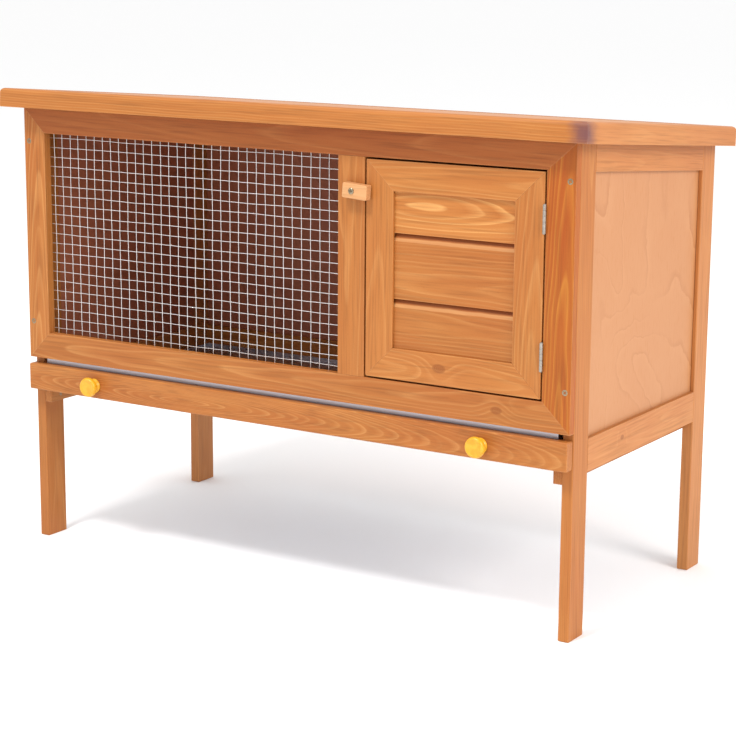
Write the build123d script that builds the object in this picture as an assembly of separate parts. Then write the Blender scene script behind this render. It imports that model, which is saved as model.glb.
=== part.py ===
from build123d import *
import math
import os

# Small-animal hutch on four legs. Millimetres, +X to the right, +Y to the back, +Z up.
# The origin is on the floor, under the middle of the roof.

# Overall size
ROOF_WIDTH = 910.0
ROOF_DEPTH = 450.0
HEIGHT = 650.0
ROOF_THICKNESS = 26.0
ROOF_PITCH = 4.8
SIDE_OVERHANG = 24.0
FRONT_OVERHANG = 23.5
BACK_OVERHANG = 13.0

# Stock sizes
FRAME_THICKNESS = 12.0
RAIL_THICKNESS = 15.0
LEG_DEPTH = 40.0
PLY = 4.0
GROOVE = 5.0
PANEL_RECESS = 6.0
FIT_GAP = 0.3

# Heights above the floor
FRAME_BOTTOM = 267.5
OPENING_BOTTOM = 305.0
OPENING_TOP = 588.0
LOW_RAIL_BOTTOM = 212.0
LOW_RAIL_TOP = 254.0
TOP_RAIL_HEIGHT = 34.0
RUNNER_BOTTOM = 201.0
RUNNER_TOP = 219.0
PARTITION_BOTTOM = 250.0

# Widths across the front
STILE_WIDTH = 36.0
RIGHT_STILE_WIDTH = 39.0
CENTRE_STILE_LEFT = 94.5
CENTRE_STILE_RIGHT = 134.5

# Door
DOOR_GAP = 2.5
DOOR_MEMBER = 40.0
DOOR_TOP_MEMBER = 38.0
DOOR_REBATE = 6.0
SLAT_THICKNESS = 8.0
SLAT_LAP = 6.0
SLAT_BEVEL_HEIGHT = 10.5
SLAT_STEPS = (494.6, 410.7)

# Wire front
WIRE = 1.0
WIRE_PITCH_X = 14.4
WIRE_PITCH_Z = 13.5
WIRES_ACROSS = 36
WIRES_UP = 23
STAPLE_CROWN = 10.0
STAPLE_THICKNESS = 0.7
STAPLE_LEG = 6.0

# Tray
TRAY_BOARD_BOTTOM = 221.5
TRAY_BOARD_TOP = 259.0
TRAY_BOARD_PROUD = 4.0
TRAY_BOARD_HALF_WIDTH = 430.0
PAN_HALF_WIDTH = 410.0
PAN_BACK = 195.0
SHEET = 0.8
PAN_LIP = 6.2
PAN_FLANGE_TOP = 265.3
PAN_SCREW_HEIGHT = 237.0
PAN_SCREW_XS = (-380.0, -125.0, 125.0, 380.0)
KNOB_X = 310.0
KNOB_Z = 240.0
KNOB_LENGTH = 18.5
KNOB_HEAD_RADIUS = 14.0
KNOB_NECK_RADIUS = 8.0
KNOB_FOOT_RADIUS = 10.0
KNOB_FOOT_HEIGHT = 2.0
KNOB_NECK_HEIGHTS = (5.0, 7.0)
KNOB_HEAD_HEIGHTS = (11.0, 14.0)
KNOB_DOME_MIDDLE = (1.6, 17.2)
KNOB_DOME_INSET = 5.0

# Turn button
BUTTON_LEFT = 14.0
BUTTON_RIGHT = 22.5
BUTTON_HEIGHT = 19.0
BUTTON_THICKNESS = 12.0
BUTTON_TILT = 4.3
BUTTON_PIVOT_X = 122.0
BUTTON_PIVOT_Z = 545.0
BUTTON_SCREW_RADIUS = 2.0
BUTTON_SCREW_HEAD_RADIUS = 4.2
BUTTON_SCREW_HEAD_HEIGHT = 2.0
RUNNING_CLEARANCE = 0.05

# Hinges
HINGE_KNUCKLES = 5
KNUCKLE_SLIT = 0.3
PIN_RADIUS = 1.0
PIN_CAP_RADIUS = 1.5
PIN_CAP = 0.6
DOOR_HINGE_LENGTH = 35.5
DOOR_HINGE_LOW = 360.8
DOOR_HINGE_HIGH = 529.2
DOOR_BARREL_RADIUS = 2.2
DOOR_PIN_FORWARD = 2.4
DOOR_LEAF = 0.9
DOOR_LEAF_INSET = 0.35
DOOR_LEAF_REACH = 12.4
ROOF_HINGE_X = 300.0
ROOF_HINGE_LENGTH = 50.0
ROOF_BARREL_RADIUS = 2.8
ROOF_LEAF = 1.2
ROOF_LEAF_REACH = 24.0

# Roof build
ROOF_MEMBER = 45.0
ROOF_EDGE_RADIUS = 6.0
ROOF_REBATE = 8.0
ROOF_PANEL_DROP = 0.5
ROOF_BATTEN_X = 140.0
ROOF_BATTEN_WIDTH = 30.0
ROOF_BATTEN_HEIGHT = 18.0

# Partition
PARTITION_X = 110.5
PARTITION_THICKNESS = 8.0
DOORWAY_FRONT = -60.0
DOORWAY_WIDTH = 150.0
DOORWAY_TOP = 440.0
PARTITION_BATTEN = 16.0
FLANGE_NOTCH = 3.0
ARCH_CUTTER = 40.0

# Fasteners
DOWEL_RADIUS = 3.0
DOWEL_LENGTH = 24.0
SCREW_HEAD_RADIUS = 4.0
SCREW_SHANK_RADIUS = 2.0
SCREW_HEAD_PROUD = 0.3
SCREW_HEIGHTS = (320.0, 576.0)
SCREW_X = 423.0
SMALL_HEAD_RADIUS = 2.6
SMALL_SHANK_RADIUS = 1.3
SMALL_HEAD_PROUD = 0.2
FRAME_SCREW_LENGTH = 32.0
KNOB_SCREW_LENGTH = 28.0
RUNNER_SCREW_LENGTH = 20.0
DOOR_HINGE_SCREW_LENGTH = 13.0
DOOR_HINGE_SCREW_OFFSET = 10.0
ROOF_HINGE_SCREW_LENGTH = 16.0
ROOF_HINGE_SCREW_OFFSET = 15.0
ROOF_HINGE_SCREW_DROP = 14.0
BACK_HINGE_SCREW_LENGTH = 12.0
PAN_SCREW_LENGTH = 12.0

# A box larger than the hutch, which cuts pieces to the slope of the roof
SPACE_ABOVE = (1200.0, 900.0, 200.0)

# Planes that the pieces share
FRONT = -ROOF_DEPTH / 2 + FRONT_OVERHANG
FRAME_BACK = FRONT + FRAME_THICKNESS
BACK = ROOF_DEPTH / 2 - BACK_OVERHANG
RIGHT = ROOF_WIDTH / 2 - SIDE_OVERHANG
LEG_INNER = RIGHT - RAIL_THICKNESS
FRONT_LEG_BACK = FRAME_BACK + LEG_DEPTH
BACK_LEG_FRONT = BACK - LEG_DEPTH
BACK_RAIL_FRONT = BACK - RAIL_THICKNESS
PANEL_OUTER = RIGHT - PANEL_RECESS
PANEL_INNER = PANEL_OUTER - PLY
BACK_PANEL_OUTER = BACK - PANEL_RECESS
BACK_PANEL_INNER = BACK_PANEL_OUTER - PLY
TRAY_FRONT = FRONT - TRAY_BOARD_PROUD
TRAY_BOARD_BACK = FRAME_BACK - 0.5
PAN_FLOOR = RUNNER_TOP + FIT_GAP
SLAT_FACE = FRAME_BACK - SLAT_THICKNESS
DOOR_LEFT = CENTRE_STILE_RIGHT + DOOR_GAP
DOOR_RIGHT = RIGHT - RIGHT_STILE_WIDTH - DOOR_GAP
DOOR_BOTTOM = OPENING_BOTTOM + DOOR_GAP
DOOR_TOP = OPENING_TOP - DOOR_GAP

# The roof lies in its own tilted frame: x across, y back from its lower front edge, z up from its underside.
TILT = math.radians(ROOF_PITCH)
ROOF_SEAT = HEIGHT - ROOF_THICKNESS * math.cos(TILT)
ROOF_LENGTH = (ROOF_DEPTH - ROOF_THICKNESS * math.sin(TILT)) / math.cos(TILT)
ROOF_PLACE = Location((0, -ROOF_DEPTH / 2, ROOF_SEAT), (-ROOF_PITCH, 0, 0))

NODES = {}


def block(x0, x1, y0, y1, z0, z1):
    """A board between two opposite corners."""
    centre = Pos((x0 + x1) / 2, (y0 + y1) / 2, (z0 + z1) / 2)
    return centre * Box(abs(x1 - x0), abs(y1 - y0), abs(z1 - z0))


def upright_board(corners, y0, y1):
    """A board whose face is the polygon of (x, z) corners, from y0 back to y1."""
    face = make_face(Polyline([(x, y0, z) for x, z in corners], close=True))
    return extrude(face, amount=y1 - y0, dir=(0, 1, 0))


def mitred_frame(x0, x1, z0, z1, left, right, bottom, top, y0, y1):
    """Four boards round an opening, mitred at every corner."""
    outer = {"bl": (x0, z0), "br": (x1, z0), "tl": (x0, z1), "tr": (x1, z1)}
    inner = {
        "bl": (x0 + left, z0 + bottom),
        "br": (x1 - right, z0 + bottom),
        "tl": (x0 + left, z1 - top),
        "tr": (x1 - right, z1 - top),
    }
    sides = {"left": ("bl", "tl"), "right": ("br", "tr"), "bottom": ("bl", "br"), "top": ("tl", "tr")}
    return {
        side: upright_board([outer[a], outer[b], inner[b], inner[a]], y0, y1)
        for side, (a, b) in sides.items()
    }


def space_above(depth):
    """Everything higher than a plane that lies the given depth under the roof's underside."""
    width, length, height = SPACE_ABOVE
    return ROOF_PLACE * Pos(0, ROOF_DEPTH / 2, height / 2 - depth) * Box(width, length, height)


def under_roof(piece, depth=FIT_GAP):
    """The piece with its top cut to the slope of the roof."""
    return piece - space_above(depth)


def roof_height(y, depth=0.0):
    """The height, at this y, of a plane the given depth under the roof's underside."""
    return ROOF_SEAT - math.tan(TILT) * (y + ROOF_DEPTH / 2) - depth


def group(*pieces):
    """Separate solids kept together in one node."""
    return Compound(children=[solid for piece in pieces for solid in piece.solids()])


def add(name, piece):
    """Keep a finished piece under its node name."""
    NODES[name] = piece


def mirrored(piece):
    """The same piece on the other side of the hutch."""
    return mirror(piece, about=Plane.YZ)


def countersunk_screw(head_radius, shank_radius, length):
    """A screw along -Z with the top of its head at the origin."""
    head_height = head_radius - shank_radius
    head = Pos(0, 0, -head_height / 2) * Cone(shank_radius, head_radius, head_height)
    shank_length = length - head_height - shank_radius * 2
    shank = Pos(0, 0, -head_height - shank_length / 2) * Cylinder(shank_radius, shank_length)
    point = Pos(0, 0, -length + shank_radius) * Cone(0.3, shank_radius, shank_radius * 2)
    return head + shank + point


def screw_at(x, y, z, way, head_radius, shank_radius, length):
    """A screw whose head's face is at the given point and whose shank runs along way."""
    back = tuple(-component for component in way)
    return Plane(origin=(x, y, z), z_dir=back) * countersunk_screw(head_radius, shank_radius, length)


def wall_panel(x0, x1, y0, y1, depth=TOP_RAIL_HEIGHT - GROOVE):
    """A plywood panel that stands in the low rail's groove and reaches into the top rail's."""
    return under_roof(block(x0, x1, y0, y1, LOW_RAIL_TOP - GROOVE, HEIGHT), depth)


def hinge_zones(length, own):
    """The lengths along the pin that one leaf's knuckles take; own is 0 or 1."""
    step = length / HINGE_KNUCKLES
    return [
        (-length / 2 + i * step + KNUCKLE_SLIT / 2, -length / 2 + (i + 1) * step - KNUCKLE_SLIT / 2)
        for i in range(own, HINGE_KNUCKLES, 2)
    ]


def hinge_leaf(length, own, barrel, side, inset, thickness, start, reach, bridge):
    """One leaf about the Z axis: a plate along +Y on the given side of X, and its knuckles."""
    near, far = side * inset, side * (inset + thickness)
    leaf = block(near, far, start, reach, -length / 2, length / 2)
    for low, high in hinge_zones(length, own):
        leaf += Pos(0, 0, (low + high) / 2) * Cylinder(barrel, high - low)
        leaf += block(side * bridge[0], far, bridge[1], bridge[2], low, high)
    return leaf - Cylinder(PIN_RADIUS + RUNNING_CLEARANCE, length * 2)


def hinge_pin(length):
    """A pin about the Z axis with a small cap at each end."""
    pin = Cylinder(PIN_RADIUS, length + 2 * PIN_CAP)
    for end in (-1, 1):
        pin += Pos(0, 0, end * (length + PIN_CAP) / 2) * Cylinder(PIN_CAP_RADIUS, PIN_CAP)
    return pin


def make_walls():
    """Plywood side and back panels, which the frame members are grooved for."""
    side = wall_panel(PANEL_INNER, PANEL_OUTER, FRONT_LEG_BACK - GROOVE, BACK_LEG_FRONT + GROOVE)
    add("side_panel_right", side)
    add("side_panel_left", mirrored(side))
    ends = {
        "back_panel_run": (-LEG_INNER - GROOVE, CENTRE_STILE_LEFT + GROOVE),
        "back_panel_nest": (CENTRE_STILE_RIGHT - GROOVE, LEG_INNER + GROOVE),
    }
    for name, (x0, x1) in ends.items():
        add(name, wall_panel(x0, x1, BACK_PANEL_INNER, BACK_PANEL_OUTER))


def make_legs():
    """Four posts from the floor to the roof, the back ones grooved for two panels."""
    front = under_roof(block(LEG_INNER, RIGHT, FRAME_BACK, FRONT_LEG_BACK, 0, HEIGHT))
    front -= NODES["side_panel_right"]
    back = under_roof(block(LEG_INNER, RIGHT, BACK_LEG_FRONT, BACK, 0, HEIGHT))
    back -= NODES["side_panel_right"]
    back -= NODES["back_panel_nest"]
    add("leg_front_right", front)
    add("leg_front_left", mirrored(front))
    add("leg_back_right", back)
    add("leg_back_left", mirrored(back))


def make_side_rails():
    """A level low rail and a sloping top rail between the legs on each side."""
    low = block(LEG_INNER, RIGHT, FRONT_LEG_BACK, BACK_LEG_FRONT, LOW_RAIL_BOTTOM, LOW_RAIL_TOP)
    low -= NODES["side_panel_right"]
    top = block(LEG_INNER, RIGHT, FRONT_LEG_BACK, BACK_LEG_FRONT, LOW_RAIL_TOP, HEIGHT)
    top = (under_roof(top) & space_above(TOP_RAIL_HEIGHT)) - NODES["side_panel_right"]
    for name, rail in (("side_rail_low", low), ("side_rail_top", top)):
        add(name + "_right", rail)
        add(name + "_left", mirrored(rail))


def make_back_rails():
    """Low rail, top rail and middle stile at the back."""
    low = block(-LEG_INNER, LEG_INNER, BACK_RAIL_FRONT, BACK, LOW_RAIL_BOTTOM, LOW_RAIL_TOP)
    top = block(-LEG_INNER, LEG_INNER, BACK_RAIL_FRONT, BACK, LOW_RAIL_TOP, HEIGHT)
    top = under_roof(top) & space_above(TOP_RAIL_HEIGHT)
    stile = block(CENTRE_STILE_LEFT, CENTRE_STILE_RIGHT, BACK_RAIL_FRONT, BACK, LOW_RAIL_TOP, HEIGHT)
    stile = under_roof(stile, TOP_RAIL_HEIGHT)
    members = {"back_rail_low": low, "back_rail_top": top, "back_stile": stile}
    for name, member in members.items():
        for panel in ("back_panel_run", "back_panel_nest"):
            member -= NODES[panel]
        add(name, member)


def make_front_frame():
    """Mitred front frame and the stile between the wire front and the door."""
    top_height = roof_height(FRONT) - OPENING_TOP
    members = mitred_frame(
        -RIGHT, RIGHT, FRAME_BOTTOM, OPENING_TOP + top_height,
        STILE_WIDTH, RIGHT_STILE_WIDTH, OPENING_BOTTOM - FRAME_BOTTOM, top_height,
        FRONT, FRAME_BACK,
    )
    names = {"left": "front_stile_left", "right": "front_stile_right",
             "bottom": "front_rail_low", "top": "front_rail_top"}
    for side, name in names.items():
        add(name, under_roof(members[side]))
    centre = block(CENTRE_STILE_LEFT, CENTRE_STILE_RIGHT, FRONT, FRAME_BACK, OPENING_BOTTOM, OPENING_TOP)
    add("front_stile_centre", centre)


def wire_grid():
    """Middle of the wire front, and the lowest wire's offset from it in each direction."""
    centre_x = (-RIGHT + STILE_WIDTH + CENTRE_STILE_LEFT) / 2
    centre_z = (OPENING_BOTTOM + OPENING_TOP) / 2
    return centre_x, centre_z, (WIRES_ACROSS - 1) * WIRE_PITCH_X / 2, (WIRES_UP - 1) * WIRE_PITCH_Z / 2


def make_wire_front():
    """Square welded wire behind the front frame, as one flat grid."""
    centre_x, centre_z, half_x, half_z = wire_grid()
    sheet = Rectangle(2 * half_x + WIRE, 2 * half_z + WIRE)
    cell = Rectangle(WIRE_PITCH_X - WIRE, WIRE_PITCH_Z - WIRE)
    cells = GridLocations(WIRE_PITCH_X, WIRE_PITCH_Z, WIRES_ACROSS - 1, WIRES_UP - 1) * cell
    plane = Plane(origin=(centre_x, FRAME_BACK + WIRE, centre_z), x_dir=(1, 0, 0), z_dir=(0, -1, 0))
    add("front_mesh", extrude(plane * (sheet - cells), amount=WIRE))


def staple(x, z, across):
    """A staple over one wire, with its crown across X or along Z."""
    half = STAPLE_CROWN / 2
    crown_back = FRAME_BACK + WIRE + STAPLE_THICKNESS
    span_x, span_z = (half, STAPLE_THICKNESS / 2) if across else (STAPLE_THICKNESS / 2, half)
    piece = block(x - span_x, x + span_x, crown_back - STAPLE_THICKNESS, crown_back, z - span_z, z + span_z)
    for end in (-1, 1):
        leg_x = x + end * (half - STAPLE_THICKNESS / 2) * across
        leg_z = z + end * (half - STAPLE_THICKNESS / 2) * (not across)
        t = STAPLE_THICKNESS / 2
        piece += block(leg_x - t, leg_x + t, FRAME_BACK - STAPLE_LEG, crown_back, leg_z - t, leg_z + t)
    return piece


def make_staples():
    """Staples that hold the wire to the back of the frame, every few wires."""
    centre_x, centre_z, half_x, half_z = wire_grid()
    reach_x, reach_z = half_x - WIRE_PITCH_X / 4, half_z - WIRE_PITCH_Z / 4
    staples = []
    for column in range(2, WIRES_ACROSS - 1, 5):
        x = centre_x - half_x + column * WIRE_PITCH_X
        staples += [staple(x, centre_z + side * reach_z, True) for side in (-1, 1)]
    for row in range(3, WIRES_UP - 1, 5):
        z = centre_z - half_z + row * WIRE_PITCH_Z
        staples += [staple(centre_x + side * reach_x, z, False) for side in (-1, 1)]
    add("mesh_staples", group(*staples))


def make_partition():
    """Board between the run and the nest, with a round-topped doorway, and its two battens."""
    right = PARTITION_X + PARTITION_THICKNESS
    board = under_roof(block(PARTITION_X, right, FRAME_BACK, BACK_RAIL_FRONT, PARTITION_BOTTOM, HEIGHT))
    middle = DOORWAY_FRONT + DOORWAY_WIDTH / 2
    spring = DOORWAY_TOP - DOORWAY_WIDTH / 2
    doorway = block(PARTITION_X - 1, right + 1, DOORWAY_FRONT, DOORWAY_FRONT + DOORWAY_WIDTH, 0, spring)
    arch = Pos(PARTITION_X, middle, spring) * Rot(0, 90, 0) * Cylinder(DOORWAY_WIDTH / 2, ARCH_CUTTER)
    flange_room = block(PARTITION_X - 1, right + 1, FRAME_BACK - 1, FRAME_BACK + FLANGE_NOTCH, 0, FRAME_BOTTOM)
    add("partition", board - doorway - arch - flange_room)
    batten_right = right + PARTITION_BATTEN
    front = block(right, batten_right, FRAME_BACK, FRAME_BACK + PARTITION_BATTEN, FRAME_BOTTOM, OPENING_TOP)
    back_y = BACK_RAIL_FRONT - PARTITION_BATTEN
    back = block(right, batten_right, back_y, BACK_RAIL_FRONT, PARTITION_BOTTOM, OPENING_TOP - LEG_DEPTH)
    add("partition_battens", group(front, back))


def make_runners():
    """Battens inside the legs that the tray slides on, and their screws."""
    inner = LEG_INNER - FRAME_THICKNESS
    runner = block(inner, LEG_INNER, FRAME_BACK, BACK_RAIL_FRONT, RUNNER_BOTTOM, RUNNER_TOP)
    add("tray_runner_right", runner)
    add("tray_runner_left", mirrored(runner))
    places = ((FRONT_LEG_BACK - LEG_DEPTH / 2, 210.0), (10.0, 215.5), (BACK_LEG_FRONT + LEG_DEPTH / 2, 210.0))
    screws = [screw_at(inner, y, z, (1, 0, 0), SMALL_HEAD_RADIUS, SMALL_SHANK_RADIUS, RUNNER_SCREW_LENGTH)
              for y, z in places]
    add("runner_screws", group(*screws, *[mirrored(screw) for screw in screws]))


def make_frame_screws():
    """Four screws through the front frame into the front legs."""
    screws = [
        screw_at(side * SCREW_X, FRONT - SCREW_HEAD_PROUD, z, (0, 1, 0),
                 SCREW_HEAD_RADIUS, SCREW_SHANK_RADIUS, FRAME_SCREW_LENGTH)
        for side in (-1, 1) for z in SCREW_HEIGHTS
    ]
    add("frame_screws", group(*screws))


def make_dowels():
    """Hidden dowels between the rails, stiles and legs."""
    along_x = Rot(0, 90, 0) * Cylinder(DOWEL_RADIUS, DOWEL_LENGTH)
    along_y = Rot(90, 0, 0) * Cylinder(DOWEL_RADIUS, DOWEL_LENGTH)
    along_z = Cylinder(DOWEL_RADIUS, DOWEL_LENGTH)
    low_z = (LOW_RAIL_BOTTOM + LOW_RAIL_TOP) / 2
    mid_rail = TOP_RAIL_HEIGHT / 2
    back_y = (BACK_RAIL_FRONT + BACK) / 2
    stile_x = (CENTRE_STILE_LEFT + CENTRE_STILE_RIGHT) / 2
    dowels = []
    for side in (-1, 1):
        side_x = side * (LEG_INNER + RIGHT) / 2
        for y in (FRONT_LEG_BACK, BACK_LEG_FRONT):
            dowels += [Pos(side_x, y, z) * along_y for z in (low_z, roof_height(y, mid_rail))]
        end_x = side * (LEG_INNER - 1)
        dowels += [Pos(end_x, back_y, z) * along_x for z in (low_z, roof_height(back_y, mid_rail))]
    frame_y = FRONT + FRAME_THICKNESS / 2
    dowels += [Pos(stile_x, frame_y, z) * along_z for z in (OPENING_BOTTOM, OPENING_TOP)]
    top_joint = roof_height(back_y, TOP_RAIL_HEIGHT)
    dowels += [Pos(stile_x, back_y, z) * along_z for z in (LOW_RAIL_TOP, top_joint)]
    add("rail_dowels", group(*dowels))


def make_door():
    """Mitred door frame, rebated at the back for three lapped slats."""
    members = mitred_frame(
        DOOR_LEFT, DOOR_RIGHT, DOOR_BOTTOM, DOOR_TOP,
        DOOR_MEMBER, DOOR_MEMBER, DOOR_MEMBER, DOOR_TOP_MEMBER, FRONT, FRAME_BACK,
    )
    left = DOOR_LEFT + DOOR_MEMBER - DOOR_REBATE
    right = DOOR_RIGHT - DOOR_MEMBER + DOOR_REBATE
    low = DOOR_BOTTOM + DOOR_MEMBER - DOOR_REBATE
    high = DOOR_TOP - DOOR_TOP_MEMBER + DOOR_REBATE
    rebate = block(left, right, SLAT_FACE, FRAME_BACK + 1, low, high)
    names = {"left": "door_stile_left", "right": "door_stile_right",
             "bottom": "door_rail_low", "top": "door_rail_top"}
    for side, name in names.items():
        add(name, members[side] - rebate)
    edges = (high, *SLAT_STEPS, low)
    for index, name in enumerate(("door_slat_top", "door_slat_middle", "door_slat_low")):
        add(name, slat(left, right, edges[index], edges[index + 1], index > 0, index < 2))


def slat(left, right, top, bottom, tongued, lapped):
    """A slat: a tongue and a bevel at a joint above it, and a rebate behind a joint below it."""
    half = (SLAT_FACE + FRAME_BACK) / 2
    profile = [(SLAT_FACE, bottom)]
    if lapped:
        profile += [(half, bottom), (half, bottom + SLAT_LAP + FIT_GAP), (FRAME_BACK, bottom + SLAT_LAP + FIT_GAP)]
    else:
        profile += [(FRAME_BACK, bottom)]
    if tongued:
        profile += [(FRAME_BACK, top + SLAT_LAP), (half + FIT_GAP, top + SLAT_LAP), (half + FIT_GAP, top - FIT_GAP)]
        profile += [(SLAT_FACE, top - SLAT_BEVEL_HEIGHT)]
    else:
        profile += [(FRAME_BACK, top), (SLAT_FACE, top)]
    face = make_face(Polyline([(left, y, z) for y, z in profile], close=True))
    return extrude(face, amount=right - left, dir=(1, 0, 0))


def make_door_hinges():
    """Two butt hinges in the gap at the door's right edge."""
    pin_x = DOOR_RIGHT + DOOR_GAP / 2
    pin_y = FRONT - DOOR_PIN_FORWARD
    start = DOOR_BARREL_RADIUS + FIT_GAP
    bridge = (DOOR_LEAF_INSET, 0, start)
    halves = {"door_hinge_frame_leaves": (0, -1), "door_hinge_door_leaves": (1, 1)}
    heights = (DOOR_HINGE_LOW, DOOR_HINGE_HIGH)
    places = [Plane(origin=(pin_x, pin_y, z), x_dir=(-1, 0, 0), z_dir=(0, 0, -1)) for z in heights]
    for name, (own, side) in halves.items():
        leaf = hinge_leaf(DOOR_HINGE_LENGTH, own, DOOR_BARREL_RADIUS, side,
                          DOOR_LEAF_INSET, DOOR_LEAF, start, DOOR_LEAF_REACH, bridge)
        add(name, group(*[place * leaf for place in places]))
    add("door_hinge_pins", group(*[place * hinge_pin(DOOR_HINGE_LENGTH) for place in places]))
    screw_y = pin_y + (start + DOOR_LEAF_REACH) / 2
    for name, side in (("door_hinge_frame_screws", 1), ("door_hinge_door_screws", -1)):
        face_x = pin_x + side * DOOR_LEAF_INSET
        screws = [
            screw_at(face_x, screw_y, z + offset, (side, 0, 0),
                     SMALL_HEAD_RADIUS, SMALL_SHANK_RADIUS, DOOR_HINGE_SCREW_LENGTH)
            for z in heights for offset in (-DOOR_HINGE_SCREW_OFFSET, DOOR_HINGE_SCREW_OFFSET)
        ]
        add(name, group(*screws))


def make_turn_button():
    """Wood block on a round-headed screw that keeps the door shut."""
    face = FRONT - FIT_GAP
    place = Location((BUTTON_PIVOT_X, face, BUTTON_PIVOT_Z), (0, BUTTON_TILT, 0))
    wood = place * block(-BUTTON_LEFT, BUTTON_RIGHT, -BUTTON_THICKNESS, 0, -BUTTON_HEIGHT / 2, BUTTON_HEIGHT / 2)
    along_y = Rot(90, 0, 0)
    pivot = Pos(BUTTON_PIVOT_X, 0, BUTTON_PIVOT_Z)
    bore = pivot * along_y * Cylinder(BUTTON_SCREW_RADIUS + RUNNING_CLEARANCE, 2 * ROOF_DEPTH)
    add("turn_button", wood - bore)
    head_back = face - BUTTON_THICKNESS - FIT_GAP
    shank_end = FRAME_BACK + 4
    shank_middle = Pos(BUTTON_PIVOT_X, (head_back + shank_end) / 2, BUTTON_PIVOT_Z)
    shank = shank_middle * along_y * Cylinder(BUTTON_SCREW_RADIUS, shank_end - head_back)
    head_middle = Pos(BUTTON_PIVOT_X, head_back - BUTTON_SCREW_HEAD_HEIGHT / 2, BUTTON_PIVOT_Z)
    head = head_middle * along_y * Cylinder(BUTTON_SCREW_HEAD_RADIUS, BUTTON_SCREW_HEAD_HEIGHT)
    add("turn_button_screw", shank + head)


def make_tray():
    """Front board with two knobs, and the shallow sheet-metal pan behind it."""
    board = block(-TRAY_BOARD_HALF_WIDTH, TRAY_BOARD_HALF_WIDTH, TRAY_FRONT, TRAY_BOARD_BACK,
                  TRAY_BOARD_BOTTOM, TRAY_BOARD_TOP)
    add("tray_front", board)
    w, front, top = PAN_HALF_WIDTH, TRAY_BOARD_BACK, PAN_FLOOR + PAN_LIP
    pan = block(-w, w, front, PAN_BACK, PAN_FLOOR, PAN_FLOOR + SHEET)
    pan += block(-w, w, front, front + SHEET, PAN_FLOOR, PAN_FLANGE_TOP)
    pan += block(-w, w, PAN_BACK - SHEET, PAN_BACK, PAN_FLOOR, top)
    pan += block(-w, -w + SHEET, front, PAN_BACK, PAN_FLOOR, top)
    pan += block(w - SHEET, w, front, PAN_BACK, PAN_FLOOR, top)
    add("tray_pan", pan)
    screws = [
        screw_at(x, front + SHEET + SMALL_HEAD_PROUD, PAN_SCREW_HEIGHT, (0, -1, 0),
                 SMALL_HEAD_RADIUS, SMALL_SHANK_RADIUS, PAN_SCREW_LENGTH)
        for x in PAN_SCREW_XS
    ]
    add("pan_screws", group(*screws))


def knob():
    """A knob along +Z: a flared foot, a waist and a domed head."""
    head_low, head_high = KNOB_HEAD_HEIGHTS
    inset, middle = KNOB_DOME_MIDDLE
    rim = (KNOB_HEAD_RADIUS - KNOB_DOME_INSET, KNOB_LENGTH)
    outline = Polyline(
        rim,
        (0, KNOB_LENGTH),
        (0, 0),
        (KNOB_FOOT_RADIUS, 0),
        (KNOB_FOOT_RADIUS, KNOB_FOOT_HEIGHT),
        *((KNOB_NECK_RADIUS, height) for height in KNOB_NECK_HEIGHTS),
        (KNOB_HEAD_RADIUS, head_low),
        (KNOB_HEAD_RADIUS, head_high),
    )
    dome = ThreePointArc((KNOB_HEAD_RADIUS, head_high), (KNOB_HEAD_RADIUS - inset, middle), rim)
    profile = Plane.XZ * make_face([outline, dome])
    return revolve(profile, Axis.Z)


def make_knobs():
    """Two knobs on the tray board, each held by a screw from behind."""
    for name, side in (("knob_left", -1), ("knob_right", 1)):
        add(name, Plane(origin=(side * KNOB_X, TRAY_FRONT, KNOB_Z), z_dir=(0, -1, 0)) * knob())
    screws = [
        screw_at(side * KNOB_X, TRAY_BOARD_BACK, KNOB_Z, (0, -1, 0), SCREW_HEAD_RADIUS, SCREW_SHANK_RADIUS,
                 KNOB_SCREW_LENGTH)
        for side in (-1, 1)
    ]
    add("knob_screws", group(*screws))


def roof_axis():
    """Where the roof hinges' pins lie, as y and z."""
    y = BACK + ROOF_BARREL_RADIUS + FIT_GAP + ROOF_LEAF
    return y, roof_height(y) - (ROOF_BARREL_RADIUS + FIT_GAP) / math.cos(TILT)


def make_roof_hinges():
    """Two butt hinges between the back top rail and the roof's underside."""
    y, z = roof_axis()
    inset = ROOF_BARREL_RADIUS + FIT_GAP
    bridge = (0, -1.5, 1.5)
    up = (0, math.sin(TILT), math.cos(TILT))
    ways = {"roof_hinge_roof_leaves": (1, up), "roof_hinge_back_leaves": (0, (0, -1, 0))}
    for name, (own, way) in ways.items():
        leaf = hinge_leaf(ROOF_HINGE_LENGTH, own, ROOF_BARREL_RADIUS, 1, inset, ROOF_LEAF,
                          -1.5, ROOF_LEAF_REACH, bridge)
        places = [Plane(origin=(x, y, z), x_dir=way, z_dir=(1, 0, 0)) for x in (-ROOF_HINGE_X, ROOF_HINGE_X)]
        add(name, group(*[place * leaf for place in places]))
    pins = [Plane(origin=(x, y, z), z_dir=(1, 0, 0)) * hinge_pin(ROOF_HINGE_LENGTH)
            for x in (-ROOF_HINGE_X, ROOF_HINGE_X)]
    add("roof_hinge_pins", group(*pins))
    places = [side * ROOF_HINGE_X + offset for side in (-1, 1)
              for offset in (-ROOF_HINGE_SCREW_OFFSET, ROOF_HINGE_SCREW_OFFSET)]
    back = [screw_at(x, BACK + ROOF_LEAF, z - ROOF_HINGE_SCREW_DROP, (0, -1, 0),
                     SMALL_HEAD_RADIUS, SMALL_SHANK_RADIUS, BACK_HINGE_SCREW_LENGTH)
            for x in places]
    add("roof_hinge_back_screws", group(*back))
    roof_y = y - 14
    roof = [screw_at(x, roof_y, roof_height(roof_y), up, SMALL_HEAD_RADIUS, SMALL_SHANK_RADIUS,
                     ROOF_HINGE_SCREW_LENGTH)
            for x in places]
    add("roof_hinge_roof_screws", group(*roof))


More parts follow.
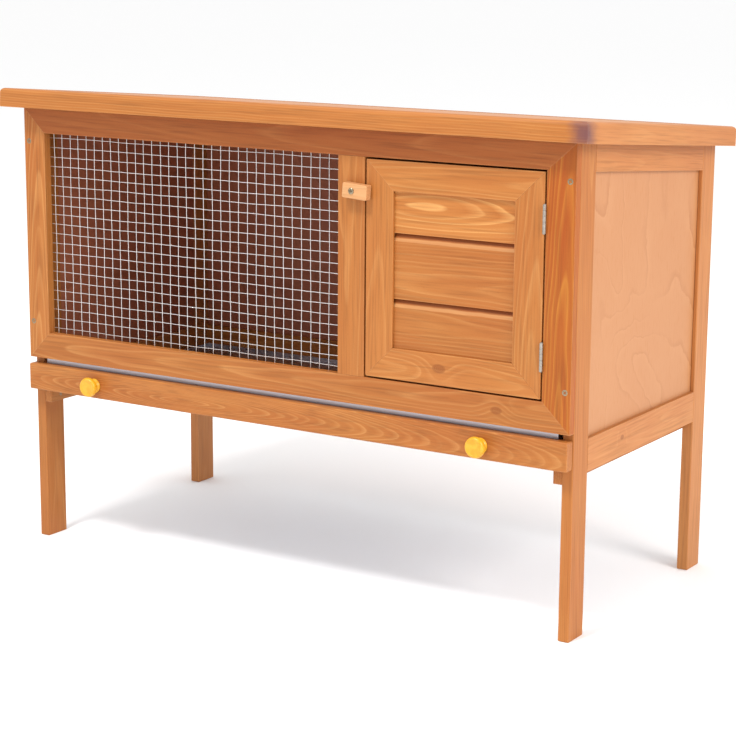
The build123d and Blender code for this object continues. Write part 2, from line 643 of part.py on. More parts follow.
def make_roof():
    """Mitred roof frame with rounded top edges, a panel let into its top, and two battens."""
    half = ROOF_WIDTH / 2
    slab = Pos(0, ROOF_LENGTH / 2, ROOF_THICKNESS / 2) * Box(ROOF_WIDTH, ROOF_LENGTH, ROOF_THICKNESS)
    top = slab.faces().sort_by(Axis.Z)[-1]
    slab = fillet(top.edges(), ROOF_EDGE_RADIUS)
    inner_x, near, far = half - ROOF_MEMBER, ROOF_MEMBER, ROOF_LENGTH - ROOF_MEMBER
    panel_top = ROOF_THICKNESS - ROOF_PANEL_DROP
    panel_x, panel_near, panel_far = inner_x + ROOF_REBATE, near - ROOF_REBATE, far + ROOF_REBATE
    panel = block(-panel_x, panel_x, panel_near, panel_far, panel_top - PLY, panel_top)
    rebate = block(-panel_x, panel_x, panel_near, panel_far, panel_top - PLY, ROOF_THICKNESS + 1)
    outer = [(-half, 0), (half, 0), (half, ROOF_LENGTH), (-half, ROOF_LENGTH)]
    inner = [(-inner_x, near), (inner_x, near), (inner_x, far), (-inner_x, far)]
    for index, name in enumerate(("roof_board_front", "roof_board_right", "roof_board_back", "roof_board_left")):
        after = (index + 1) % 4
        corners = [outer[index], outer[after], inner[after], inner[index]]
        face = make_face(Polyline([(x, y, -1) for x, y in corners], close=True))
        board = (slab & extrude(face, amount=ROOF_THICKNESS + 2, dir=(0, 0, 1))) - rebate
        board = ROOF_PLACE * board
        if name == "roof_board_back":
            board -= NODES["roof_hinge_roof_leaves"]
        add(name, board)
    add("roof_panel", ROOF_PLACE * panel)
    low = panel_top - PLY - ROOF_BATTEN_HEIGHT
    battens = [
        ROOF_PLACE * block(x - ROOF_BATTEN_WIDTH / 2, x + ROOF_BATTEN_WIDTH / 2, near, far, low, panel_top - PLY)
        for x in (-ROOF_BATTEN_X, ROOF_BATTEN_X)
    ]
    add("roof_battens", group(*battens))


make_walls()
make_legs()
make_side_rails()
make_back_rails()
make_front_frame()
make_wire_front()
make_staples()
make_partition()
make_runners()
make_frame_screws()
make_dowels()
make_door()
make_door_hinges()
make_turn_button()
make_tray()
make_knobs()
make_roof_hinges()
make_roof()

os.makedirs("parts", exist_ok=True)
for node_name, node in NODES.items():
    export_step(node, "parts/" + node_name + ".step")
print(len(NODES), "nodes; door pin", DOOR_RIGHT + DOOR_GAP / 2, FRONT - DOOR_PIN_FORWARD, "roof pin", roof_axis())
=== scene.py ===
"""Looks of a raised wooden hutch: stained fir boards, veneer panels, welded wire, tray and hardware."""

import logging
import math
import random
from collections.abc import Callable, Sequence
from dataclasses import dataclass
from enum import Enum

import bmesh
import bpy
from mathutils import Euler, Matrix, Vector


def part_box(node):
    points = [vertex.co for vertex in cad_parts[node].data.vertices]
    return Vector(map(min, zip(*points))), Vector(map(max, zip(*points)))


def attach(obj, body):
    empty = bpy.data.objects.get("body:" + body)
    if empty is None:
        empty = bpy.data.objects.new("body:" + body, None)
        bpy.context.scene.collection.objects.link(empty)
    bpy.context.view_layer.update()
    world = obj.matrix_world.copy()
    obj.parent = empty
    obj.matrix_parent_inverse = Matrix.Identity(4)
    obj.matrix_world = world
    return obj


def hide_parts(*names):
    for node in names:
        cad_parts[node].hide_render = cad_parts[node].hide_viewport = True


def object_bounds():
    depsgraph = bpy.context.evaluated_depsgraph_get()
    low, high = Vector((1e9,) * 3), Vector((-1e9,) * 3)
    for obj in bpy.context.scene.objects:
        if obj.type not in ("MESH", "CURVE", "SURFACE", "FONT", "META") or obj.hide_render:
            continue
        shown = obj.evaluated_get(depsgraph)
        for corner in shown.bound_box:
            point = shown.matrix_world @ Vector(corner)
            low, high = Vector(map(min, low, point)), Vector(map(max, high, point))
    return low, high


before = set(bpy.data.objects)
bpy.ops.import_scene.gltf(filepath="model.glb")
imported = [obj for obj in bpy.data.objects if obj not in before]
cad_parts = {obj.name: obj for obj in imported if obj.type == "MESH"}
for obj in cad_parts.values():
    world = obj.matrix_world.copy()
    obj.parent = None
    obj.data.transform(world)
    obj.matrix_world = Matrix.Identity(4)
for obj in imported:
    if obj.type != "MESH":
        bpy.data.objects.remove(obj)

log = logging.getLogger("hutch")
CAD_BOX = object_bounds()
MM = 0.001
ROOF_PITCH = math.radians(4.8)
NOWHERE = (0.0, 0.0, -5.0)
NUMBER_RESULTS = ("DOT_PRODUCT", "LENGTH", "DISTANCE")
WELD_REACH = 0.01 * MM
BEVEL_STEPS = 3
BEVEL_ANGLE = math.radians(34)

Socket = bpy.types.NodeSocket
Node = bpy.types.Node
Material = bpy.types.Material
Form = bmesh.types.BMesh
Colour = tuple[float, float, float]
Value = float | Socket
VectorValue = Sequence[float] | Socket


class Body(Enum):
    """The moving bodies that new pieces ride on."""

    HUTCH = "hutch_body"
    DOOR = "door"
    TRAY = "tray"
    ROOF = "roof"


class Slot(Enum):
    """Names of the record's material slots."""

    WIRE = "galvanised_wire"
    SCREW = "yellow_zinc_screw"
    PLASTIC = "yellow_plastic"
    ZINC = "zinc_steel"


class Stain(Enum):
    """The stained looks that a fir board can have."""

    HONEY = "honey"
    # Lighter copy of the honey stain for side boards: painted light on the sides.
    SIDE = "side"
    PALE = "pale"
    # Darker, redder copy of the honey stain: painted shade under the roof's overhang.
    SHADED_UNDER_ROOF = "red"
    FLAMED = "flamed"


class Run(Enum):
    """The axis that a board's grain runs along."""

    ACROSS = 0
    BACK = 1
    UP = 2


class Graph:
    """A node tree with short ways to add and wire nodes."""

    def __init__(self, tree: bpy.types.NodeTree) -> None:
        """Keep the tree that nodes are added to."""
        self.tree = tree

    def node(self, kind: str, **settings: object) -> Node:
        """Add a node and set its properties.

        Args:
            kind: The node's type name.
            settings: Property names and values.

        Returns:
            The new node.
        """
        made = self.tree.nodes.new(kind)
        for key, value in settings.items():
            setattr(made, key, value)
        return made

    def feed(self, socket: Socket, value: object) -> None:
        """Link a socket to another one, or set its own value.

        Args:
            socket: The input to fill.
            value: An output socket, a number or a sequence of numbers.
        """
        if isinstance(value, Socket):
            self.tree.links.new(value, socket)
        elif socket.type == "RGBA":
            socket.default_value = (*value[:3], 1.0)
        else:
            socket.default_value = value

    def math(self, operation: str, *values: Value) -> Socket:
        """Do arithmetic on numbers.

        Args:
            operation: The Math node's operation.
            values: Its inputs, in order.

        Returns:
            The result's socket.
        """
        made = self.node("ShaderNodeMath", operation=operation)
        for socket, value in zip(made.inputs, values):
            self.feed(socket, value)
        return made.outputs[0]

    def times(self, first: Value, second: Value) -> Socket:
        """The product of two numbers."""
        return self.math("MULTIPLY", first, second)

    def vector(self, operation: str, *values: VectorValue) -> Socket:
        """Do arithmetic on vectors.

        Args:
            operation: The Vector Math node's operation.
            values: Its inputs, in order.

        Returns:
            The result's socket, which holds a number or a vector.
        """
        made = self.node("ShaderNodeVectorMath", operation=operation)
        for socket, value in zip(made.inputs, values):
            self.feed(socket, value)
        return made.outputs["Value" if operation in NUMBER_RESULTS else "Vector"]

    def scaled(self, vector: VectorValue, amount: Value) -> Socket:
        """Multiply a whole vector by a number.

        Args:
            vector: The vector.
            amount: The number.

        Returns:
            The scaled vector.
        """
        made = self.node("ShaderNodeVectorMath", operation="SCALE")
        self.feed(made.inputs[0], vector)
        self.feed(made.inputs["Scale"], amount)
        return made.outputs["Vector"]

    def noise(
        self, point: VectorValue, scale: float, detail: float = 2.0, distortion: float = 0.0, part: str = "Fac"
    ) -> Socket:
        """Add a noise texture.

        Args:
            point: Where it is looked up.
            scale: Features per metre.
            detail: Octaves.
            distortion: How far it is warped by itself.
            part: The output to use, "Fac" or "Color".

        Returns:
            The output's socket.
        """
        made = self.node("ShaderNodeTexNoise")
        self.feed(made.inputs["Vector"], point)
        for name, value in (("Scale", scale), ("Detail", detail), ("Distortion", distortion)):
            made.inputs[name].default_value = value
        return made.outputs[part]

    def ramp(self, factor: Socket, *stops: tuple[float, float]) -> Socket:
        """Shape a mask with a grey ramp.

        Args:
            factor: The mask.
            stops: Positions and grey levels, in order.

        Returns:
            The shaped mask.
        """
        made = self.node("ShaderNodeValToRGB")
        elements = made.color_ramp.elements
        while len(elements) < len(stops):
            elements.new(0.5)
        for element, (position, grey) in zip(elements, stops):
            element.position = position
            element.color = (grey, grey, grey, 1.0)
        self.feed(made.inputs["Fac"], factor)
        return made.outputs["Color"]

    def mix(self, factor: Value, first: object, second: object, blend: str = "MIX") -> Socket:
        """Mix two colours.

        Args:
            factor: How much of the second colour.
            first: The first colour.
            second: The second colour.
            blend: The Mix node's blend type.

        Returns:
            The mixed colour.
        """
        made = self.node("ShaderNodeMix", data_type="RGBA", blend_type=blend)
        colour_a, colour_b = [socket for socket in made.inputs if socket.type == "RGBA"]
        self.feed(made.inputs[0], factor)
        self.feed(colour_a, first)
        self.feed(colour_b, second)
        return next(socket for socket in made.outputs if socket.type == "RGBA")

    def group(self, tree: bpy.types.NodeTree, **values: object) -> Node:
        """Place a node group and fill its inputs.

        Args:
            tree: The group's tree.
            values: Input names, with _ for a space, and their values.

        Returns:
            The group's node.
        """
        made = self.node("ShaderNodeGroup", node_tree=tree)
        for name, value in values.items():
            self.feed(made.inputs[name.replace("_", " ")], value)
        return made

    def object_point(self) -> Socket:
        """The point on the piece, in the hutch's own metres."""
        return self.node("ShaderNodeTexCoord").outputs["Object"]


@dataclass
class Effect:
    """A node group shared by materials: named inputs, named outputs and how they are wired."""

    name: str
    inputs: dict[str, str]
    outputs: dict[str, str]
    wire: Callable[[Graph, Node], dict[str, Socket]]
    tree: bpy.types.NodeTree | None = None

    def get(self) -> bpy.types.NodeTree:
        """The group's tree, which is built the first time.

        Returns:
            The node tree.
        """
        if self.tree is None:
            self.tree = bpy.data.node_groups.new(self.name, "ShaderNodeTree")
            for way, sockets in (("INPUT", self.inputs), ("OUTPUT", self.outputs)):
                for name, kind in sockets.items():
                    self.tree.interface.new_socket(name, in_out=way, socket_type="NodeSocket" + kind)
            graph = Graph(self.tree)
            results = self.wire(graph, graph.node("NodeGroupInput"))
            target = graph.node("NodeGroupOutput")
            for name, socket in results.items():
                graph.feed(target.inputs[name], socket)
        return self.tree


def wire_rings(graph: Graph, given: Node) -> dict[str, Socket]:
    """Growth rings round a tilted pith, bent by slow waves and round one knot.

    Args:
        graph: The group's tree.
        given: Its input node.

    Returns:
        The group's output sockets by name.
    """
    point, turn = given.outputs["Point"], given.outputs["Turn"]

    def turned(origin: Socket) -> Socket:
        """The point from an origin, with the grain along X.

        Args:
            origin: The origin.

        Returns:
            The turned point.
        """
        rotate = graph.node("ShaderNodeVectorRotate", rotation_type="EULER_XYZ")
        graph.feed(rotate.inputs["Vector"], graph.vector("SUBTRACT", point, origin))
        graph.feed(rotate.inputs["Rotation"], turn)
        return rotate.outputs["Vector"]

    local = turned(given.outputs["Pith"])
    quick = graph.noise(graph.vector("MULTIPLY", local, (26.0, 9.0, 9.0)), 1.0, detail=1.5)
    ripple = graph.times(quick, given.outputs["Ripple"])
    wave = graph.noise(graph.vector("MULTIPLY", local, (3.2, 11.0, 11.0)), 1.0, detail=2.5, part="Color")
    centred = graph.vector("SUBTRACT", wave, (0.5, 0.5, 0.5))
    bend = graph.scaled(centred, given.outputs["Waviness"])
    radius = graph.vector("LENGTH", graph.vector("MULTIPLY", graph.vector("ADD", local, bend), (0, 1, 1)))

    squeeze = graph.node("ShaderNodeCombineXYZ")
    for name, value in (("X", given.outputs["Knot Stretch"]), ("Y", 1.0), ("Z", 1.0)):
        graph.feed(squeeze.inputs[name], value)
    knot_point = graph.vector("MULTIPLY", turned(given.outputs["Knot"]), squeeze.outputs["Vector"])
    ratio = graph.math("DIVIDE", graph.vector("LENGTH", knot_point), given.outputs["Knot Radius"])
    swirl = graph.math("POWER", 2.0, graph.times(graph.times(ratio, ratio), -0.22))
    push = graph.math("MULTIPLY_ADD", swirl, given.outputs["Knot Push"], ripple)
    knot = graph.ramp(ratio, (0.78, 1.0), (1.12, 0.0))
    knot_rings = graph.math("FRACT", graph.times(ratio, 3.7))

    turns = graph.math("DIVIDE", graph.math("ADD", radius, push), given.outputs["Ring Width"])
    uneven = graph.noise(graph.vector("MULTIPLY", local, (0.6, 5.0, 5.0)), 9.0, detail=1.0)
    turns = graph.math("ADD", turns, graph.times(uneven, 1.4))
    phase = graph.math("FRACT", turns)
    year = graph.node("ShaderNodeTexWhiteNoise", noise_dimensions="1D")
    graph.feed(year.inputs["W"], graph.math("FLOOR", turns))
    rings = graph.ramp(phase, (0.0, 0.12), (0.42, 0.0), (0.74, 0.62), (0.88, 1.0), (1.0, 0.12))
    strength = graph.math("ADD", graph.times(year.outputs["Value"], 0.75), 0.25)

    fibre = graph.noise(graph.vector("MULTIPLY", local, (9.0, 420.0, 420.0)), 1.0, detail=3.0)
    broad = graph.noise(graph.vector("MULTIPLY", local, (2.0, 38.0, 38.0)), 1.0)
    return {
        "Rings": graph.times(rings, strength),
        "Fibre": fibre,
        "Streak": graph.ramp(broad, (0.32, 0.0), (0.7, 1.0)),
        "Knot": knot,
        "Knot Rings": knot_rings,
    }


def wire_wear_and_highlight(graph: Graph, given: Node) -> dict[str, Socket]:
    """Pale edges, partly rubbed wear and partly a painted highlight, slow blotches of stain, and fine specks.

    Args:
        graph: The group's tree.
        given: Its input node.

    Returns:
        The group's output sockets by name.
    """
    point = given.outputs["Point"]
    rounded = graph.node("ShaderNodeBevel", samples=4)
    graph.feed(rounded.inputs["Radius"], given.outputs["Edge Width"])
    geometry = graph.node("ShaderNodeNewGeometry")
    agree = graph.vector("DOT_PRODUCT", rounded.outputs["Normal"], geometry.outputs["Normal"])
    scuffs = graph.noise(point, 60.0, detail=3.0)
    # Scuffed edge mask: rubbed wear that also stands for a painted highlight along every edge.
    edge = graph.ramp(graph.math("SUBTRACT", 1.0, agree), (0.02, 0.0), (0.2, 1.0))
    rubbed_and_lit = graph.times(edge, graph.ramp(scuffs, (0.35, 0.25), (0.62, 1.0)))
    blotch = graph.noise(point, 7.0, detail=3.0, distortion=0.6)
    specks = graph.noise(point, 520.0, detail=1.0)
    return {
        "Edge": rubbed_and_lit,
        "Blotch": graph.ramp(blotch, (0.34, 0.0), (0.66, 1.0)),
        "Specks": graph.ramp(specks, (0.66, 0.0), (0.78, 1.0)),
    }


def wire_veneer(graph: Graph, given: Node) -> dict[str, Socket]:
    """Wandering contour lines of a rotary-cut veneer sheet, with fine pores.

    Args:
        graph: The group's tree.
        given: Its input node.

    Returns:
        The group's output sockets by name.
    """
    point = graph.vector("ADD", given.outputs["Point"], given.outputs["Shift"])
    ragged = graph.noise(point, 42.0, detail=3.0, part="Color")
    bent = graph.vector("ADD", point, graph.scaled(ragged, 16 * MM))
    stretched = graph.vector("MULTIPLY", bent, given.outputs["Stretch"])
    height = graph.noise(stretched, 1.0, detail=1.5, distortion=0.4)
    contour = graph.math("FRACT", graph.times(height, 13.0))
    faint = graph.ramp(graph.noise(point, 9.0, detail=1.0), (0.36, 0.15), (0.62, 1.0))
    crest = graph.ramp(contour, (0.0, 0.0), (0.86, 0.05), (0.97, 1.0), (1.0, 0.0))
    line = graph.times(crest, faint)
    glow = graph.times(graph.ramp(contour, (0.0, 1.0), (0.2, 0.0)), faint)
    pores = graph.noise(graph.vector("MULTIPLY", point, (900.0, 900.0, 70.0)), 1.0, detail=1.0)
    return {"Line": line, "Glow": glow, "Pores": graph.ramp(pores, (0.55, 0.0), (0.72, 1.0))}


RINGS = Effect(
    "growth_rings",
    {"Point": "Vector", "Pith": "Vector", "Turn": "Vector", "Ring Width": "Float", "Waviness": "Float",
     "Ripple": "Float", "Knot": "Vector", "Knot Radius": "Float", "Knot Stretch": "Float", "Knot Push": "Float"},
    {"Rings": "Float", "Fibre": "Float", "Streak": "Float", "Knot": "Float", "Knot Rings": "Float"},
    wire_rings,
)
WEAR_AND_HIGHLIGHT = Effect(
    "edge_wear_highlight_and_blotches",
    {"Point": "Vector", "Edge Width": "Float"},
    {"Edge": "Float", "Blotch": "Float", "Specks": "Float"},
    wire_wear_and_highlight,
)
VENEER = Effect(
    "rotary_veneer",
    {"Point": "Vector", "Shift": "Vector", "Stretch": "Vector"},
    {"Line": "Float", "Glow": "Float", "Pores": "Float"},
    wire_veneer,
)


def new_material(name: str) -> tuple[Material, Graph, Node]:
    """Start a material with a Principled shader.

    Args:
        name: The material's name.

    Returns:
        The material, its graph and its shader node.
    """
    material = bpy.data.materials.new(name)
    material.use_nodes = True
    shader = material.node_tree.nodes["Principled BSDF"]
    return material, Graph(material.node_tree), shader


def finish(
    graph: Graph, shader: Node, colour: Value, roughness: Value, height: Value, depth: float, strength: float
) -> None:
    """Feed a material's colour, roughness and relief to its shader.

    Args:
        graph: The material's graph.
        shader: Its Principled node.
        colour: The base colour.
        roughness: How dull it is.
        height: The relief.
        depth: The relief's depth in metres.
        strength: How much of the relief shows.
    """
    graph.feed(shader.inputs["Base Color"], colour)
    graph.feed(shader.inputs["Roughness"], roughness)
    relief = graph.node("ShaderNodeBump")
    for name, value in (("Strength", strength), ("Distance", depth), ("Height", height)):
        graph.feed(relief.inputs[name], value)
    graph.feed(shader.inputs["Normal"], relief.outputs["Normal"])


@dataclass(frozen=True)
class Board:
    """One fir board: how it was cut from the log, and what marks it has."""

    node: str
    depth: float = 34 * MM
    lean: float = 0.8
    ring_width: float = 2.4 * MM
    waviness: float = 9 * MM
    tone: float = 0.0
    contrast: float = 1.0
    knot: tuple[float, float, float] = NOWHERE
    knot_radius: float = 6 * MM
    knot_stretch: float = 0.62
    knot_push: float = 5.5 * MM
    knot_shown: float = 0.62
    ripple: float = 0.4 * MM
    slope: float = 0.0
    burn: tuple[float, float, float] | None = None
    edge: float = 0.9 * MM
    taper: float = 1.5
    sideways: float = 0.3
    # Height of a lap over the board: a painted shadow goes under it and a painted highlight on the bevel below.
    lap: float | None = None
    stain: Stain = Stain.HONEY

    def cut(self) -> tuple[Vector, Euler]:
        """Place the pith behind the board's face and lean it a little from the board's length.

        Returns:
            A point on the pith, and the turn that brings the grain along X.
        """
        chance = random.Random(self.node)
        low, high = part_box(self.node)
        size = high - low
        run = Run(max(range(3), key=lambda axis: size[axis]))
        thin = min(range(3), key=lambda axis: size[axis])
        wide = 3 - run.value - thin
        pith = (low + high) / 2
        pith[thin] += self.depth
        pith[wide] += chance.uniform(-1.0, 1.0) * self.sideways * size[wide]
        pith[run.value] += chance.uniform(-0.2, 0.2) * size[run.value]
        level = {
            Run.ACROSS: Matrix.Identity(3),
            Run.BACK: Matrix.Rotation(-math.pi / 2, 3, "Z") @ Matrix.Rotation(self.slope, 3, "X"),
            Run.UP: Matrix.Rotation(math.pi / 2, 3, "Y"),
        }[run]
        swing = [chance.uniform(0.6, 1.0) * chance.choice((-1, 1)) for _ in range(2)]
        lean = Euler((0.0, math.radians(self.lean * swing[0]), math.radians(self.taper * swing[1])))
        return pith, (lean.to_matrix() @ level).to_euler("XYZ")


@dataclass(frozen=True)
class FirStain:
    """Honey stain on fir: denser late wood takes less of it and shows as pale lines."""

    base: Colour = (0.425, 0.155, 0.034)
    deep: Colour = (0.325, 0.088, 0.013)
    pale: Colour = (0.560, 0.258, 0.078)
    # Pale edge colour: wear and a painted highlight on edges; also the painted highlight on a lapped slat's
    # bevel.
    rubbed_and_lit: Colour = (0.620, 0.330, 0.140)
    red: Colour = (0.370, 0.090, 0.018)
    knot: Colour = (0.190, 0.050, 0.007)
    knot_ring: Colour = (0.260, 0.075, 0.016)
    burn: Colour = (0.120, 0.048, 0.060)
    # Painted shadow under a slat's lap: its colour, its height, and the plane behind which it stops.
    lap_shadow: Colour = (0.175, 0.034, 0.005)
    lap_shadow_height: float = 11 * MM
    lap_shadow_back: float = -192.5 * MM
    burn_core: float = 14 * MM
    burn_reach: float = 46 * MM
    burn_ragged: float = 22 * MM
    burn_shown: float = 0.85
    streak_shown: float = 0.62
    late_wood_shown: float = 0.72
    blotch_shown: float = 0.24
    speck_shown: float = 0.3
    rubbed_and_lit_shown: float = 0.35
    roughness: float = 0.47
    gloss: float = 0.26
    relief: float = 0.22 * MM

    def toned(self, colour: Colour, tone: float) -> Colour:
        """A colour made lighter for one board, or darker where the tone is negative."""
        red, green, blue = colour
        return min(1.0, red * (1 + 0.7 * tone)), green * (1 + tone), blue * (1 + 1.2 * tone)

    def lap_shadow_and_highlight(self, graph: Graph, colour: Socket, point: Socket, lap: float) -> Socket:
        """Painted shadow under a lap, over a painted highlight on the bevel below it.

        Args:
            graph: The material's graph.
            colour: The colour so far.
            point: The point on the board.
            lap: Height of the lap's lower edge.

        Returns:
            The colour with the painted shadow and highlight.
        """
        split = graph.node("ShaderNodeSeparateXYZ")
        graph.feed(split.inputs[0], point)
        below = graph.math("SUBTRACT", lap, split.outputs["Z"])
        uneven = graph.math("MULTIPLY_ADD", graph.noise(point, 45.0), 1.6 * MM, -0.8 * MM)
        drop = graph.math("DIVIDE", graph.math("ADD", below, uneven), self.lap_shadow_height)
        outer = graph.math("LESS_THAN", split.outputs["Y"], self.lap_shadow_back)
        # Painted highlight on the bevel below the lap, in the pale edge colour.
        bevel_highlight = graph.ramp(drop, (0.52, 0.0), (0.62, 0.42), (0.90, 0.36), (0.99, 0.0))
        colour = graph.mix(graph.times(bevel_highlight, outer), colour, self.rubbed_and_lit)
        # Painted shadow in the groove right under the lap.
        shadow_mask = graph.ramp(drop, (0.0, 0.9), (0.40, 0.75), (0.58, 0.0))
        return graph.mix(graph.times(shadow_mask, outer), colour, self.lap_shadow)

    def burnt(self, graph: Graph, colour: Socket, point: Socket, centre: Sequence[float]) -> Socket:
        """A dark stain round a corner, with a ragged rim.

        Args:
            graph: The material's graph.
            colour: The colour so far.
            point: The point on the board.
            centre: The middle of the stain.

        Returns:
            The colour with the dark stain.
        """
        distance = graph.vector("DISTANCE", point, centre)
        ragged = graph.times(graph.noise(point, 60.0), self.burn_ragged)
        shade = graph.node("ShaderNodeMapRange", interpolation_type="SMOOTHSTEP")
        limits = {
            "From Min": self.burn_core, "From Max": self.burn_reach, "To Min": self.burn_shown, "To Max": 0.0,
        }
        for name, value in limits.items():
            shade.inputs[name].default_value = value
        graph.feed(shade.inputs["Value"], graph.math("ADD", distance, ragged))
        return graph.mix(shade.outputs["Result"], colour, self.burn)

    def material(self, board: Board) -> Material:
        """The stain on one board.

        Args:
            board: The board's cut and marks.

        Returns:
            The board's material.
        """
        material, graph, shader = new_material("fir_" + board.node)
        point = graph.object_point()
        pith, turn = board.cut()
        rings = graph.group(
            RINGS.get(), Point=point, Pith=pith, Turn=turn, Ring_Width=board.ring_width,
            Waviness=board.waviness, Ripple=board.ripple, Knot=board.knot, Knot_Radius=board.knot_radius,
            Knot_Stretch=board.knot_stretch, Knot_Push=board.knot_push,
        )
        wear_and_highlight = graph.group(WEAR_AND_HIGHLIGHT.get(), Point=point, Edge_Width=2.2 * MM)
        base, deep, pale, red = (self.toned(c, board.tone) for c in (self.base, self.deep, self.pale, self.red))
        streak = graph.times(rings.outputs["Streak"], self.streak_shown * board.contrast)
        colour = graph.mix(streak, base, deep)
        late = graph.times(rings.outputs["Rings"], self.late_wood_shown * board.contrast)
        colour = graph.mix(late, colour, pale)
        colour = graph.mix(graph.times(wear_and_highlight.outputs["Blotch"], self.blotch_shown), colour, red)
        colour = graph.mix(graph.times(wear_and_highlight.outputs["Specks"], self.speck_shown), colour, deep)
        fine = graph.ramp(rings.outputs["Fibre"], (0.30, 1.0), (0.50, 0.95), (0.74, 0.74))
        colour = graph.mix(1.0, colour, fine, blend="MULTIPLY")
        knot_rings = graph.ramp(rings.outputs["Knot Rings"], (0.3, 0.0), (0.7, 1.0))
        knot_colour = graph.mix(knot_rings, self.knot, self.knot_ring)
        colour = graph.mix(graph.times(rings.outputs["Knot"], board.knot_shown), colour, knot_colour)
        # Pale edges: partly wear, partly a painted highlight.
        colour = graph.mix(graph.times(wear_and_highlight.outputs["Edge"], self.rubbed_and_lit_shown), colour, self.rubbed_and_lit)
        # Painted shadow under the lap and painted highlight on its bevel.
        if board.lap is not None:
            colour = self.lap_shadow_and_highlight(graph, colour, point, board.lap)
        if board.burn:
            colour = self.burnt(graph, colour, point, board.burn)
        dull = graph.math("MULTIPLY_ADD", rings.outputs["Fibre"], 0.16, self.roughness - 0.08)
        shader.inputs["Specular IOR Level"].default_value = self.gloss
        height = graph.math("MULTIPLY_ADD", rings.outputs["Rings"], 0.45, rings.outputs["Fibre"])
        finish(graph, shader, colour, dull, height, self.relief, 0.55)
        return material


@dataclass(frozen=True)
class VeneerStain:
    """Honey stain on a rotary-cut plywood sheet."""

    base: Colour = (0.470, 0.212, 0.085)
    line: Colour = (0.345, 0.128, 0.038)
    glow: Colour = (0.530, 0.262, 0.118)
    red: Colour = (0.435, 0.175, 0.060)
    roughness: float = 0.52
    blotch_shown: float = 0.35
    glow_shown: float = 0.35
    line_shown: float = 0.5
    pores_shown: float = 0.14

    def material(self, node: str, stretch: Sequence[float]) -> Material:
        """The stain on one sheet.

        Args:
            node: The sheet's CAD node.
            stretch: Contour features per metre along each axis.

        Returns:
            The sheet's material.
        """
        material, graph, shader = new_material("veneer_" + node)
        point = graph.object_point()
        chance = random.Random(node)
        shift = [chance.uniform(-3, 3) for _ in range(3)]
        sheet = graph.group(VENEER.get(), Point=point, Shift=shift, Stretch=stretch)
        wear_and_highlight = graph.group(WEAR_AND_HIGHLIGHT.get(), Point=point, Edge_Width=1.2 * MM)
        layers = (
            (wear_and_highlight.outputs["Blotch"], self.blotch_shown, self.red),
            (sheet.outputs["Glow"], self.glow_shown, self.glow),
            (sheet.outputs["Line"], self.line_shown, self.line),
            (sheet.outputs["Pores"], self.pores_shown, self.line),
        )
        colour: object = self.base
        for mask, shown, layer in layers:
            colour = graph.mix(graph.times(mask, shown), colour, layer)
        dull = graph.math("MULTIPLY_ADD", sheet.outputs["Pores"], 0.1, self.roughness)
        height = graph.math("SUBTRACT", 1.0, sheet.outputs["Pores"])
        finish(graph, shader, colour, dull, height, 0.08 * MM, 0.35)
        return material


@dataclass(frozen=True)
class Steel:
    """A plated steel: its colour, how dull it is, and how strongly its crystals show."""

    name: str
    light: Colour
    dark: Colour
    roughness: float
    metallic: float
    crystal: float

    def material(self) -> Material:
        """The plated surface: the scene's material of this name, or a new one where there is none.

        Returns:
            The material.
        """
        if self.name in bpy.data.materials:
            return bpy.data.materials[self.name]
        material, graph, shader = new_material(self.name)
        point = graph.object_point()
        cells = graph.node("ShaderNodeTexVoronoi", feature="F1")
        graph.feed(cells.inputs["Vector"], point)
        cells.inputs["Scale"].default_value = self.crystal
        tint = graph.node("ShaderNodeRGBToBW")
        graph.feed(tint.inputs["Color"], cells.outputs["Color"])
        smudge = graph.noise(point, 55.0, detail=4.0)
        mask = graph.times(tint.outputs["Val"], graph.ramp(smudge, (0.3, 0.35), (0.7, 1.0)))
        dull = graph.math("MULTIPLY_ADD", smudge, 0.22, self.roughness - 0.1)
        shader.inputs["Metallic"].default_value = self.metallic
        finish(graph, shader, graph.mix(mask, self.dark, self.light), dull, smudge, 0.05 * MM, 0.3)
        return material


@dataclass(frozen=True)
class KnobPlastic:
    """Satin moulded plastic with a faint flow mottle."""

    name: str = "knob_plastic"
    base: Colour = (0.640, 0.305, 0.006)
    bright: Colour = (0.800, 0.470, 0.040)
    roughness: float = 0.36

    def material(self) -> Material:
        """The moulded surface: the scene's material of this name, or a new one where there is none.

        Returns:
            The material.
        """
        if self.name in bpy.data.materials:
            return bpy.data.materials[self.name]
        material, graph, shader = new_material(self.name)
        point = graph.object_point()
        wear_and_highlight = graph.group(WEAR_AND_HIGHLIGHT.get(), Point=point, Edge_Width=1.6 * MM)
        mottle = graph.noise(point, 150.0, detail=3.0)
        colour = graph.mix(graph.ramp(mottle, (0.4, 0.0), (0.65, 0.4)), self.base, self.bright)
        # Brighter edges: partly wear, partly a painted highlight on the rim.
        colour = graph.mix(graph.times(wear_and_highlight.outputs["Edge"], 0.8), colour, self.bright)
        dull = graph.math("MULTIPLY_ADD", mottle, 0.15, self.roughness - 0.06)
        shader.inputs["Subsurface Weight"].default_value = 0.08
        shader.inputs["Subsurface Radius"].default_value = (0.004, 0.0025, 0.001)
        finish(graph, shader, colour, dull, mottle, 0.06 * MM, 0.3)
        return material


